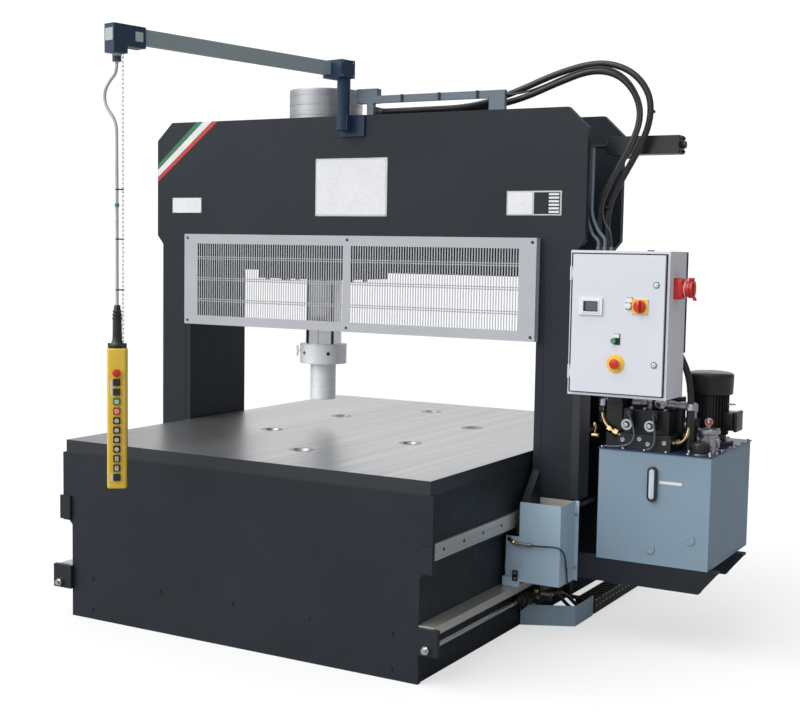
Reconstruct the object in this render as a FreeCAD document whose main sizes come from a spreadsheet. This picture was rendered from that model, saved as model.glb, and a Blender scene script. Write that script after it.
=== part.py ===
import FreeCAD, Part
import Sketcher
import math
import os
import re

# A movable-portal hydraulic press. A work table stands on the floor, a portal on wheels travels
# along it, and a carriage inside the portal's beam carries the press cylinder across the table.
# X runs across the table, Y along it away from the operator, Z up. The origin is at the middle of
# the table, on the floor. All sizes are millimetres.

SIZES = {
    # work table
    "table_width": 2144, "table_length": 2624, "table_height": 920, "top_thickness": 65,
    "hole_radius": 25, "countersink_radius": 50, "countersink_depth": 25,
    "hole_row_x": 440, "hole_row_y": 365, "end_hole_x": 105, "end_hole_y": 885,
    # table frame: a channel, wide above the lip and narrow below it
    "table_side": "table_width / 2", "lip_level": 545, "lower_half": "table_side - 52", "web": 25,
    "base": 20, "rib": 25, "rib_near": 200, "rib_middle": 640, "rib_far": 1100,
    "end_plate": 24, "end_overhang": 6, "end_upper_half": "table_side + 18",
    "end_lower_half": "table_side - 44", "end_step": 500, "end_notch": 20, "screw_radius": 9,
    "screw_head": 5, "screw_pitch": 445, "screw_level": 213, "foot_screw_level": 50,
    "foot_screw_x": "table_side - 182",
    # guide rails on the frame's sides
    "upper_rail_low": 560, "upper_rail_top": 637, "upper_rail_proud": 12, "rail_lip": 25,
    "rail_lip_proud": 2, "lower_rail_low": 230, "lower_rail_top": 270,
    "lower_rail_out": "table_side + 33",
    # stop blocks and rod brackets on the end plates
    "stop_low": 508, "stop_top": 630, "stop_in": "table_side - 42", "stop_out": "table_side + 26",
    "stop_depth": 16, "bracket_in": "table_side - 54", "bracket_out": "table_side + 64",
    "bracket_low": 145, "bracket_top": 265, "bracket_depth": 25,
    # traverse cylinders: the rod is held by the table, the barrel by the portal
    "rod_x": "table_side + 13", "rod_z": 176, "rod_radius": 14, "rod_neck": 12, "nut_radius": 20,
    "nut_length": 20, "thread_end": 15, "piston_front": -75, "piston_length": 40,
    "running_gap": 0.05, "barrel_radius": 35, "barrel_bore": 28, "nose_length": 40,
    "barrel_front": -385, "gland_radius": 46, "gland_length": 25, "barrel_back": 700,
    "barrel_cap": 30, "port_start": 5, "port": 30, "port_lift": 4, "clamp_y": 200,
    "clamp_length": 50, "clamp_in": "table_side - 27", "clamp_low": 131, "clamp_top": 221,
    "rail_clearance": 3,
    # portal plates, as far apart as the cylinder and the carriage's bars between them need
    "portal_plate": 40, "bar_clear": 6, "bar_width": 14,
    "portal_half": "cylinder_radius + bar_clear + bar_width + portal_plate",
    "beam_bottom": "table_height + 883", "beam_top": "beam_bottom + 839",
    "beam_half": "table_side + 273", "beam_chamfer_x": "beam_half - 107",
    "beam_chamfer_z": "beam_top - 102", "cheek_low": "beam_bottom + 187",
    "cheek_end": "beam_bottom + 137", "leg_out": "table_side + 232", "leg_in": "table_side + 66",
    "leg_low": 290,
    # inner leg webs with the feet that carry the wheels
    "web_in": "table_side + 26", "foot_half": 440, "foot_low": 285, "foot_top": 640,
    "gusset_top": 830, "leg_rib": 20, "leg_rib_depth": 130, "leg_rib_first": 620,
    "leg_rib_pitch": 380, "pad_in": "table_side - 32", "pad_y": 300, "pad_length": 90,
    "pad_low": 478, "pad_gap": 2,
    # wheels on the lower rails
    "wheel_radius": 90, "wheel_in": "table_side - 37", "wheel_out": "table_side + 13",
    "wheel_y": 350, "wheel_gap": 0.3, "axle_radius": 25, "collar_radius": 40, "collar_gap": 2,
    "axle_cap": 5,
    # sheet covers round the feet
    "sheet": 3, "cover_front": "-(foot_half + 14)", "cover_in": "table_side + 46",
    "cover_out": "table_side + 263", "cover_low": 295, "cover_top": 697,
    "wing_in": "table_side - 26", "wing_low": 310, "wing_top": 522, "flange": 20,
    "wiper_in": "table_side - 31", "wiper_out": "table_side + 53", "wiper_depth": 24,
    "wiper_seat": 8, "wiper_gap": 2, "low_cover_in": "table_side - 42", "low_cover_front": -219,
    "low_cover_out": "table_side + 212", "low_cover_bend": -95, "low_cover_back": 155,
    "low_cover_low": 5, "low_cover_top": 112, "skirt_tab_half": 12, "skirt_tab_depth": 10,
    "skirt_tab_drop": 20, "plug_start": "table_side + 40", "plug_length": 60, "plug_nut": 18,
    "plug_radius": 10, "plug_nut_radius": 12, "plug_level": 488,
    # guard in front of the ram
    "guard_front": "-(portal_half + 45)", "guard_half": "table_side + 36",
    "guard_low": "table_height + 561", "guard_top": "guard_low + 518", "guard_sheet": 2,
    "window_in": 26, "window_edge": 96, "window_low": "guard_low + 52",
    "window_top": "guard_top - 54", "slot": 9.5, "slot_pitch": 15.5,
    "slot_run": "floor((guard_half - window_in - window_edge) / slot_pitch) * slot_pitch",
    "wire_radius": 2.5, "wire_first": "guard_low + 135", "wire_row": 121, "wire_pair": 12,
    # tank and its beams
    "tank_left": "leg_out + 149", "tank_width": 560, "tank_right": "tank_left + tank_width",
    "tank_front": "-(portal_half + 2)", "tank_back": 430, "tank_low": 427, "tank_top": 973,
    "tank_wall": 4, "lid": 6, "tank_floor": "tank_top + lid", "tank_beam_low": 311,
    "tank_beam_end": "tank_right + 43", "tank_beam_cut": 85, "beam_web": 12, "beam_flange": 60,
    "rear_beam": 205,
    # motor on the tank's lid
    "motor_x": "tank_right - 155", "motor_y": 200, "motor_radius": 98, "motor_foot": 125,
    "motor_low": "tank_floor + 21", "motor_top": "motor_low + 237", "cowl_radius": 117.5,
    "cowl_top": "motor_top + 108", "cowl_wall": 4, "vent_radius": 14, "vent_ring": 60,
    "shaft_radius": 14, "fan_radius": 100, "fan_low": "motor_top + 25", "fan_length": 34,
    "box_depth": 60, "box_half": 60, "box_low": "tank_floor + 70", "box_top": "box_low + 103",
    # valve block and hose fittings on the lid
    "valve_left": "tank_left + 82", "valve_right": "tank_left + 347", "valve_front": -235,
    "valve_back": -60, "valve_base": 75, "valve_inset": 10, "valve_body_front": -190,
    "valve_body_back": -70, "valve_body_right": "tank_left + 322", "valve_body": 115,
    "stack_left": "tank_left - 3", "stack_right": "tank_left + 77", "stack_front": -170,
    "stack_back": -90, "stack": 210, "solenoid_first": "tank_left + 130",
    "solenoid_pitch": 117, "solenoid_level": 120, "solenoid_radius": 27, "solenoid_length": 60,
    "solenoid_nut": 12, "solenoid_nut_radius": 14, "fitting_y": -150, "fitting_top": 1180,
    "fitting_radius": 20, "left_fitting_x": "tank_left - 33", "left_fitting_low": 1090,
    "pipe_level": 1112, "pipe_radius": 13, "right_fitting_x": "tank_left + 415",
    "gauge_x": "tank_left + 265", "gauge_y": -130, "gauge_stem": 8, "gauge_stem_top": 1176,
    "gauge_level": 1206, "gauge_radius": 30, "gauge_half": 15,
    # filter, breather, level gauge and plugs
    "filter_x": "tank_right - 78", "filter_y": -60, "filter_radius": 48, "filter_head": 85,
    "filter_flange_radius": 56, "filter_flange": 20, "filter_stem_radius": 7,
    "filter_stem": 16, "filter_dial_radius": 19, "filter_dial_half": 10,
    "breather_x": "tank_right - 73", "breather_y": -205, "breather_radius": 43, "breather": 62,
    "level_x": "tank_left + 277", "level_half": 24, "level_depth": 22, "level_low": 738,
    "level_top": 908, "plug_cap_radius": 25, "plug_cap": 5,
    "plug_x": "tank_left + 273", "plug_z": 503,
    "drain_x": "tank_left + 470", "drain_z": 570,
    # electrical cabinet and its door
    "duct_out": "leg_out + 41", "cabinet_width": 491, "cabinet_height": 692,
    "cabinet_right": "duct_out + cabinet_width", "cabinet_low": "table_height + 330",
    "cabinet_top": "cabinet_low + cabinet_height", "cabinet_back": -192, "cabinet_face": -438,
    "cabinet_wall": 4, "door_face": -454, "door": 14, "door_rim": 18, "rim": 26,
    "hinge_inset": 7, "hinge_radius": 6, "hinge_pin": 3, "hinge_length": 40, "hinge_level": 110,
    "hinge_post": 12, "tongue_half": 3, "display_left": "duct_out + 56", "display_width": 117,
    "display_low": "cabinet_low + 386", "display_height": 82, "display_proud": 6,
    "switch_x": "cabinet_right - 134", "switch_z": "cabinet_low + 434", "switch_plate_half": 40,
    "switch_plate_low": 36, "switch_plate_top": 34, "switch_plate_proud": 4,
    "switch_stem": 8, "switch_knob": 30, "switch_knob_front": 16, "switch_knob_back": 5,
    "switch_grip_half": 7, "switch_grip_reach": 28, "switch_grip_front": 34,
    "start_x": "cabinet_right - 256", "start_z": "cabinet_low + 268", "start_cap": 13,
    "start_proud": 16, "stop_x": "cabinet_right - 246", "stop_z": "cabinet_low + 160",
    "stop_cap": 24, "stop_proud": 30, "button_stem": 9, "button_cap": 8,
    "lock_x": "cabinet_right - 58", "lock_upper": "cabinet_low + 536",
    "lock_lower": "cabinet_low + 164", "lock_radius": 10, "lock_flange": 15, "lock_proud": 3,
    "control_gap": 0.1,
    # power inlet on the cabinet's side
    "inlet_y": -350, "inlet_z": "cabinet_low + 520", "inlet_radius": 44, "inlet_length": 78,
    "inlet_wall": 6, "inlet_base": 22, "inlet_base_half_y": 42, "inlet_base_half_z": 50,
    "inlet_floor": 34, "inlet_pin": 3, "inlet_pin_ring": 18, "inlet_pin_end": 66,
    "lid_gap": 1, "lid_sheet": 8, "lid_radius": "inlet_radius - 4", "ear_in": 8, "ear_out": 14,
    "ear_depth": 14, "ear_tip": 8, "lid_pin": 2.5, "lid_knuckle": 4.5, "lid_knuckle_half": 7.5,
    # cable ducts
    "duct_back": -130, "duct_gap": 4, "duct_foot": 2, "tray_left": 146, "tray_right": 893,
    "tray_low": "beam_top + 60", "tray_top": "beam_top + 98", "tray_front": "-portal_half",
    "tray_back": "26 - portal_half", "tray_foot": 805, "tray_cap_left": 20,
    "tray_cap_low": "beam_top + 61", "tray_cap_top": "beam_top + 137", "tray_cap_back": 20,
    "tray_post_left": 85, "tray_post_right": 125, "bulkhead_left": 88, "bulkhead_right": 123,
    "bulkhead_back": -140, "bulkhead": 44, "gland_height": 18, "conduit_gland": 11,
    "cable_gland_radius": 9, "conduit_gland_y": -212, "cable_gland_y": -230,
    # hoses and cables
    "hose": 32, "thin_cable": 10, "conduit": 16, "small_hose": 18, "sensor_cable": 8,
    "pendant_cable": 15,
    # drag chain beside the right foot
    "chain_in": "table_side + 108", "chain_out": "table_side + 218", "chain_front": 160,
    "chain_back": 1150, "chain_low": 12, "chain_top": 82, "chain_side": 6, "chain_bar": 14,
    "chain_plate": 6, "chain_pitch": 50, "chain_shelf": 12, "chain_shelf_half": 20,
    "chain_hanger_gap": 15,
    # carriage: a flange under the beam and a yoke on bars inside it
    "ram_x": -344, "cylinder_radius": 206, "cylinder_bore": 160,
    "cylinder_top": "beam_top + 168", "cylinder_cap": 45, "gland_top": "beam_bottom + 87",
    "flange_x": 270, "flange_y": "portal_half - 6", "carriage_flange": 45, "slide_gap": 0.5,
    "yoke_x": 250, "yoke_gap": 4, "yoke_y": "portal_half - portal_plate - yoke_gap", "yoke": 60,
    "bar_low": "beam_top - 162", "bar_top": "beam_top - 122", "bar_reach": "table_side - 172",
    "bolt_radius": 12, "bolt_head": 14, "bolt_ring": 235,
    # carriage traverse cylinder
    "cross_z": "beam_top - 177", "cross_rod": 10, "cross_piston": 22,
    "cross_start": "beam_half + 7", "cross_end": "beam_half + 385", "cross_half": 45,
    "cross_bore_front": "beam_half + 47", "cross_bore_back": "beam_half + 355",
    "cross_piston_at": "beam_half + 69", "cross_piston_length": 25, "cross_knob": 22,
    "cross_knob_radius": 18, "lug": 40, "lug_half": 40, "lug_drop": 30,
    # ram
    "ram_radius": 102, "piston_low": "beam_bottom + 347", "ram_piston": 140,
    "collar_ram": 133.5, "collar_low": "table_height + 355", "collar_top": "collar_low + 110",
    "spigot_radius": 60, "spigot_length": 60, "punch_radius": 73,
    "punch_low": "table_height + 148", "collar_screw": 7, "collar_screw_drop": 50,
    "collar_screw_reach": 45, "collar_tommy": 6, "collar_tommy_half": 30,
    # pendant arm, seen from its pivot, and the pendant
    "pivot_x": -33, "pivot_y": "-(portal_half + 45)", "column_radius": 36,
    "column_top": "beam_top + 190", "column_low": "beam_top - 82", "column_pad_left": 40,
    "column_pad_right": 110, "column_pad": 12, "column_pad_low": "beam_top - 113",
    "column_arm_lap": 20, "column_pin": 15, "column_pin_gap": 15, "elbow_roof": 12,
    "arm_turn": -11.5, "arm_shift": -63, "arm_width": 50, "arm_low": "column_top + 19",
    "arm_top": "column_top + 88", "elbow_top": "column_top + 95", "elbow_back": 45,
    "elbow_front": -60, "elbow_right": 38, "elbow_lap": 10, "arm_end": -1292,
    "head_end": -1472, "head_width": 70, "head_low": "column_top - 2",
    "outlet_low": "column_top - 35", "hang_y": -1430, "cable_gland": 20,
    "gland_low": "column_top - 72", "boot_low": 1454, "boot_top": 1653, "boot_foot": 38,
    "boot_mouth": 13, "case_low": 800, "case_width": 92, "case_depth": 78, "case_turn": 38,
    "operator_first": 1297, "operator_pitch": 44.3, "operator_size": 30, "operator_proud": 9,
    "operator_stem": 9, "operator_bore": 14, "operator_stem_in": 8, "operator_stem_out": 2,
    "pendant_stop_z": 1341, "pendant_stop_radius": 19, "pendant_stop_front": 22,
    "pendant_stop_back": 8,
}

doc = FreeCAD.newDocument("press")
dims = doc.addObject("Spreadsheet::Sheet", "dims")
for row, (alias, value) in enumerate(SIZES.items(), start=1):
    dims.set(f"A{row}", alias)
    dims.setAlias(f"B{row}", alias)
for row, value in enumerate(SIZES.values(), start=1):
    dims.set(f"B{row}", f"={value}" if isinstance(value, str) else str(value))
doc.recompute()

NODES = []
TURNED = {
    "x": FreeCAD.Rotation(FreeCAD.Vector(0, 1, 0), 90),
    "y": FreeCAD.Rotation(FreeCAD.Vector(1, 0, 0), -90),
    "z": FreeCAD.Rotation(),
}


def size(alias):
    """A size as the sheet holds it."""
    return float(dims.get(alias))


def bind(item, prop, text):
    """Tie a property to a formula of sizes."""
    formula = re.sub(r"[a-z]\w*", lambda word: "dims." + word[0] if word[0] in SIZES else word[0], text)
    item.setExpression(prop, formula)


def across(side, low, high):
    """A stretch along one axis, or its mirror image for side -1."""
    return (low, high) if side > 0 else (f"-({high})", f"-({low})")


def across_half(alias):
    """A full width, laid evenly about the middle."""
    return (f"-{alias} / 2", f"{alias} / 2")


def box(name, x, y, z):
    """A block between two places along each axis."""
    block = doc.addObject("Part::Box", name)
    for length, axis, (low, high) in zip(("Length", "Width", "Height"), "xyz", (x, y, z)):
        bind(block, length, f"({high}) - ({low})")
        bind(block, "Placement.Base." + axis, low)
    return block


def lay(item, axis, centre, start):
    """Turn a round piece along an axis, with its middle at centre on the other two axes."""
    item.Placement = FreeCAD.Placement(FreeCAD.Vector(), TURNED[axis])
    places = list(centre)
    places.insert("xyz".index(axis), start)
    for coordinate, place in zip("xyz", places):
        bind(item, "Placement.Base." + coordinate, place)


def rod(name, axis, centre, reach, radius):
    """A round bar along an axis."""
    bar = doc.addObject("Part::Cylinder", name)
    bind(bar, "Radius", radius)
    bind(bar, "Height", f"({reach[1]}) - ({reach[0]})")
    lay(bar, axis, centre, reach[0])
    return bar


def cone(name, axis, centre, reach, radii):
    """A taper along an axis, with its radius at each end."""
    taper = doc.addObject("Part::Cone", name)
    bind(taper, "Radius1", radii[0])
    bind(taper, "Radius2", radii[1])
    bind(taper, "Height", f"({reach[1]}) - ({reach[0]})")
    lay(taper, axis, centre, reach[0])
    return taper


def nut(name, centre, reach, radius):
    """A hexagonal nut along Y."""
    prism = doc.addObject("Part::Prism", name)
    prism.Polygon = 6
    bind(prism, "Circumradius", radius)
    bind(prism, "Height", f"({reach[1]}) - ({reach[0]})")
    lay(prism, "y", centre, reach[0])
    return prism


def fuse(name, *pieces):
    """Several shapes welded into one."""
    joined = doc.addObject("Part::MultiFuse", name)
    joined.Shapes = list(pieces)
    joined.Refine = True
    return joined


def cut(name, base, *tools):
    """A shape with the tools' shapes taken out of it."""
    result = doc.addObject("Part::Cut", name)
    result.Base = base
    result.Tool = tools[0] if len(tools) == 1 else fuse(name + "_tools", *tools)
    return result


def sketch_on(body, plane, name):
    """A sketch on one of the body's own origin planes."""
    sketch = body.newObject("Sketcher::SketchObject", name)
    planes = [item for item in body.Origin.OriginFeatures if item.Role == plane]
    sketch.AttachmentSupport = [(planes[0], "")]
    sketch.MapMode = "FlatFace"
    return sketch


def outline(sketch, corners):
    """A closed outline whose corners are tied to the sheet, drawn first as a regular polygon."""
    count = len(corners)
    first = len(sketch.Geometry)
    ring = [FreeCAD.Vector(math.cos(2 * math.pi * i / count), math.sin(2 * math.pi * i / count), 0)
            for i in range(count)]
    for i in range(count):
        sketch.addGeometry(Part.LineSegment(ring[i] * 100, ring[(i + 1) % count] * 100))
    for i in range(count):
        following = first + (i + 1) % count
        sketch.addConstraint(Sketcher.Constraint("Coincident", first + i, 2, following, 1))
    for i, corner in enumerate(corners):
        for kind, start, text in (("DistanceX", ring[i].x, corner[0]), ("DistanceY", ring[i].y, corner[1])):
            number = sketch.addConstraint(Sketcher.Constraint(kind, first + i, 1, start * 100))
            bind(sketch, f"Constraints[{number}]", text)


def plate(name, plane, corners, reach):
    """A flat piece: an outline on a plane, padded from one place to another across it."""
    body = doc.addObject("PartDesign::Body", name)
    sketch = sketch_on(body, plane, name + "_sketch")
    outline(sketch, corners)
    pad = body.newObject("PartDesign::Pad", name + "_pad")
    pad.Profile = sketch
    bind(pad, "Length", f"({reach[1]}) - ({reach[0]})")
    axis, start = {"XY_Plane": ("z", 0), "XZ_Plane": ("y", 1), "YZ_Plane": ("x", 0)}[plane]
    bind(body, "Placement.Base." + axis, reach[start])
    return body


def mirrored(corners, side):
    """An outline's corners, or their mirror image left to right for side -1."""
    return [across(side, x, x)[:1] + (z,) for x, z in corners]


def node(label, *pieces):
    """Keep a sub-part under its own name; several pieces stay separate solids in it."""
    part = pieces[0]
    if len(pieces) > 1:
        part = doc.addObject("Part::Compound", label)
        part.Links = list(pieces)
    part.Label = label
    NODES.append(part)
    return part


# ---------------------------------------------------------------- work table

def work_table():
    """The machined top, with countersunk tee holes through it."""
    top = box("top", across_half("table_width"), across_half("table_length"),
              ("table_height - top_thickness", "table_height"))
    places = [(f"{a}hole_row_x", f"{b}hole_row_y") for a in ("", "-") for b in ("", "-")]
    places += [("end_hole_x", "-end_hole_y"), ("-end_hole_x", "end_hole_y")]
    holes = []
    for place in places:
        holes.append(rod("hole", "z", place, ("table_height - top_thickness", "table_height"), "hole_radius"))
        holes.append(cone("countersink", "z", place, ("table_height - countersink_depth", "table_height"),
                          ("hole_radius", "countersink_radius")))
    node("table_top", cut("drilled_top", top, *holes))


def table_frame():
    """The welded channel under the top, plate by plate, and the ribs across it."""
    under = "table_height - top_thickness"
    end = "table_length / 2 + end_overhang - end_plate"
    length = (f"-({end})", end)
    inner = "lower_half - web"
    plates = [box("base_plate", (f"-({inner})", inner), length, ("0", "base"))]
    for side in (1, -1):
        plates.append(box("lower_web", across(side, inner, "lower_half"), length, ("0", "lip_level")))
        plates.append(box("lip_plate", across(side, inner, "table_side"), length, ("lip_level", "lip_level + web")))
        plates.append(box("upper_web", across(side, "table_side - web", "table_side"), length,
                          ("lip_level + web", under)))
    for place in ("0", "rib_near", "rib_middle", "rib_far"):
        for side in (1, -1) if place != "0" else (1,):
            span = across(side, f"{place} - rib / 2", f"{place} + rib / 2")
            plates.append(box("low_rib", (f"-({inner})", inner), span, ("base", "lip_level + web")))
            plates.append(box("high_rib", ("-(table_side - web)", "table_side - web"), span,
                              ("lip_level + web", under)))
    node("table_frame", *plates)


def end_face(side, depth):
    """A stretch out from the outer face of an end plate."""
    face = "table_length / 2 + end_overhang"
    return across(side, face, f"{face} + {depth}")


def end_plates():
    """The thick plates that close the frame's ends."""
    right = [("end_lower_half", "0"), ("end_lower_half", "end_step - end_notch"),
             ("end_lower_half + end_notch", "end_step"), ("end_upper_half", "end_step"),
             ("end_upper_half", "table_height - top_thickness")]
    corners = right + [(f"-({x})", z) for x, z in reversed(right)]
    plates = []
    for side, name in ((1, "rear"), (-1, "front")):
        face = "table_length / 2 + end_overhang"
        plates.append(plate(f"{name}_end_plate", "XZ_Plane", corners,
                            across(side, f"{face} - end_plate", face)))
    node("table_end_plates", *plates)


def guide_rails():
    """Bright rails bolted to the frame's sides: the upper pair guides, the lower pair carries."""
    end = "table_length / 2 + end_overhang"
    rails = []
    for side in (1, -1):
        inner = "table_side"
        outer = "table_side + upper_rail_proud"
        length = (f"-({end} - end_plate)", f"{end} - end_plate")
        main = box("rail_bar", across(side, inner, outer), length, ("upper_rail_low", "upper_rail_top"))
        lip = box("rail_lip_bar", across(side, outer, outer + " + rail_lip_proud"), length,
                  ("upper_rail_low + rail_lip", "upper_rail_top"))
        rails.append(fuse("upper_rail", main, lip))
        bar = box("carrying_bar", across(side, "lower_half", "lower_rail_out"), (f"-({end})", end),
                  ("lower_rail_low", "lower_rail_top"))
        reliefs = [box("relief", across(side, "lower_half", "end_lower_half"),
                       across(way, f"{end} - end_plate", end), ("lower_rail_low", "lower_rail_top"))
                   for way in (1, -1)]
        rails.append(cut("lower_rail", bar, *reliefs))
    node("guide_rails", *rails)


def end_fittings():
    """Stop blocks and screws on both end plates, and the rod brackets on the front one."""
    pieces = []
    for way in (1, -1):
        for side in (1, -1):
            pieces.append(box("stop_block", across(side, "stop_in", "stop_out"),
                              end_face(way, "stop_depth"), ("stop_low", "stop_top")))
        head = end_face(way, "screw_head")
        for step in range(-2, 3):
            pieces.append(rod("screw", "y", (f"{step} * screw_pitch", "screw_level"), head, "screw_radius"))
        for side in ("", "-"):
            pieces.append(rod("foot_screw", "y", (side + "foot_screw_x", "foot_screw_level"), head,
                              "screw_radius"))
    for side in (1, -1):
        block = box("rod_bracket", across(side, "bracket_in", "bracket_out"),
                    end_face(-1, "bracket_depth"), ("bracket_low", "bracket_top"))
        hole = rod("bracket_hole", "y", (across(side, "rod_x", "rod_x")[0], "rod_z"),
                   end_face(-1, "bracket_depth"), "rod_neck + running_gap")
        pieces.append(cut("bored_bracket", block, hole))
    node("end_fittings", *pieces)


def traverse_rods():
    """Fixed piston rods: the portal pulls itself along them."""
    face = "table_length / 2 + end_overhang"
    pieces = []
    for side in (1, -1):
        centre = (across(side, "rod_x", "rod_x")[0], "rod_z")
        neck_end = f"-({face} + bracket_depth + nut_length + thread_end)"
        neck = rod("rod_neck_bar", "y", centre, (neck_end, f"-({face})"), "rod_neck")
        shaft = rod("rod_shaft", "y", centre, (f"-({face})", "piston_front"), "rod_radius")
        piston = rod("rod_piston", "y", centre, ("piston_front", "piston_front + piston_length"),
                     "barrel_bore - running_gap")
        pieces.append(fuse("traverse_rod", neck, shaft, piston))
        blank = nut("rod_nut_blank", centre, (f"-({face} + bracket_depth + nut_length)",
                                              f"-({face} + bracket_depth)"), "nut_radius")
        bore = rod("rod_nut_bore", "y", centre, (f"-({face} + bracket_depth + nut_length)",
                                                 f"-({face} + bracket_depth)"), "rod_neck + running_gap")
        pieces.append(cut("rod_nut", blank, bore))
    node("traverse_rods", *pieces)


# ---------------------------------------------------------------- portal

def portal_plates():
    """Front and back plates, each one piece: a beam with two legs."""
    right = [("leg_in", "beam_bottom"), ("leg_in", "leg_low"), ("leg_out", "leg_low"),
             ("leg_out", "cheek_end"), ("beam_half", "cheek_low"), ("beam_half", "beam_chamfer_z"),
             ("beam_chamfer_x", "beam_top")]
    corners = right + [(f"-({x})", z) for x, z in reversed(right)]
    plates = [plate("portal_plate", "XZ_Plane", corners,
                    across(side, "portal_half - portal_plate", "portal_half")) for side in (-1, 1)]
    node("portal_plates", *plates)


def portal_webs():
    """Inner leg webs with their feet and ribs, hold-down pads, carriage bars and stub axles."""
    foot = [("portal_half", "foot_low"), ("foot_half", "foot_low"), ("foot_half", "foot_top"),
            ("portal_half", "gusset_top")]
    inside = ("-(portal_half - portal_plate)", "portal_half - portal_plate")
    webs, rest = [], []
    for side in (1, -1):
        wall = across(side, "web_in", "leg_in")
        webs.append(box("leg_web", wall, ("-portal_half", "portal_half"), ("foot_low", "beam_bottom")))
        for i in range(4):
            level = f"leg_rib_first + {i} * leg_rib_pitch"
            webs.append(box("leg_rib_plate", across(side, "leg_in", "leg_in + leg_rib_depth"), inside,
                            (level, f"{level} + leg_rib")))
        for way in (1, -1):
            webs.append(plate("leg_foot", "YZ_Plane", mirrored(foot, way), wall))
            rest.append(box("hold_down_pad", across(side, "pad_in", "web_in"),
                            across(way, "pad_y - pad_length / 2", "pad_y + pad_length / 2"),
                            ("pad_low", "lip_level - pad_gap")))
            rest.append(stub_axle(side, way))
    for way in (1, -1):
        rest.append(box("carriage_bar", ("-bar_reach", "bar_reach"),
                        across(way, "cylinder_radius + bar_clear", "portal_half - portal_plate"),
                        ("bar_low", "bar_top")))
    node("portal_webs", *webs)
    node("axles_and_pads", *rest)


def stub_axle(side, way):
    """An axle with a collar beside the web and a cap that keeps the wheel on."""
    centre = (across(way, "wheel_y", "wheel_y")[0], "lower_rail_top + wheel_gap + wheel_radius")
    inner = "wheel_in - collar_gap"
    shaft = rod("axle_shaft", "x", centre, across(side, inner, "web_in"), "axle_radius")
    collar = rod("axle_collar", "x", centre, across(side, "wheel_out + collar_gap", "web_in"), "collar_radius")
    cap = rod("axle_end", "x", centre, across(side, inner + " - axle_cap", inner), "collar_radius")
    return fuse("stub_axle", shaft, collar, cap)


def wheels():
    """Four flat wheels that carry the portal on the lower rails."""
    for way, end in ((-1, "front"), (1, "rear")):
        for side, hand in ((1, "right"), (-1, "left")):
            centre = (across(way, "wheel_y", "wheel_y")[0], "lower_rail_top + wheel_gap + wheel_radius")
            reach = across(side, "wheel_in", "wheel_out")
            tread = rod("tread", "x", centre, reach, "wheel_radius")
            bore = rod("wheel_bore", "x", centre, reach, "axle_radius + running_gap")
            node(f"wheel_{end}_{hand}", cut("bored_wheel", tread, bore))


def traverse_barrels():
    """Cylinder barrels clamped under the feet, with their glands and pressure ports."""
    pieces = []
    for side in (1, -1):
        centre = (across(side, "rod_x", "rod_x")[0], "rod_z")
        flange_back = "barrel_front + nose_length + gland_length"
        tube = rod("barrel_tube", "y", centre, ("barrel_front", "barrel_back"), "barrel_radius")
        flange = rod("barrel_flange", "y", centre, ("barrel_front + nose_length", flange_back),
                     "gland_radius")
        bore = rod("barrel_bore_cut", "y", centre, (flange_back, "barrel_back - barrel_cap"), "barrel_bore")
        way_out = rod("rod_way", "y", centre, ("barrel_front", flange_back), "rod_radius + running_gap")
        port = box("port_block", across(side, "rod_x + barrel_bore + rod_neck / 6", "chain_in + chain_pitch"),
                   (f"{flange_back} + port_start", f"{flange_back} + port_start + port"),
                   ("rod_z + port_lift", "rod_z + port_lift + port"))
        body = fuse("barrel_body", tube, flange, port)
        pieces.append(cut("traverse_barrel", body, bore, way_out))
        for way in (1, -1):
            span = across(way, "clamp_y - clamp_length / 2", "clamp_y + clamp_length / 2")
            low = box("clamp_block", across(side, "clamp_in", "leg_in"), span, ("clamp_low", "clamp_top"))
            hole = rod("clamp_hole", "y", centre, span, "barrel_radius")
            pieces.append(cut("barrel_clamp", low, hole))
            pieces.append(box("clamp_neck", across(side, "lower_rail_out + rail_clearance", "leg_in"), span,
                              ("clamp_top", "foot_low")))
    node("traverse_barrels", *pieces)


def upper_cover(side):
    """The sheet cover in front of a foot, open at the top, with the wiper that it carries."""
    outer = "cover_out" if side > 0 else "leg_out"
    front = ("cover_front", "cover_front + sheet")
    height = ("cover_low", "cover_top")
    tab = (outer, outer + " + flange") if side > 0 else (outer + " - flange - sheet", outer + " - sheet")
    return [box("cover_panel", across(side, "cover_in", outer), front, height),
            box("cover_wing", across(side, "wing_in", "cover_in"), front, ("wing_low", "wing_top")),
            box("cover_side", across(side, outer + " - sheet", outer), ("cover_front + sheet", "-portal_half"),
                height),
            box("cover_tab", across(side, *tab), ("-portal_half - sheet", "-portal_half"), height),
            box("rail_wiper", across(side, "wiper_in", "wiper_out"),
                ("cover_front - wiper_depth", "cover_front"),
                ("lower_rail_top + wiper_gap", "wing_low + wiper_seat"))]


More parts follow.
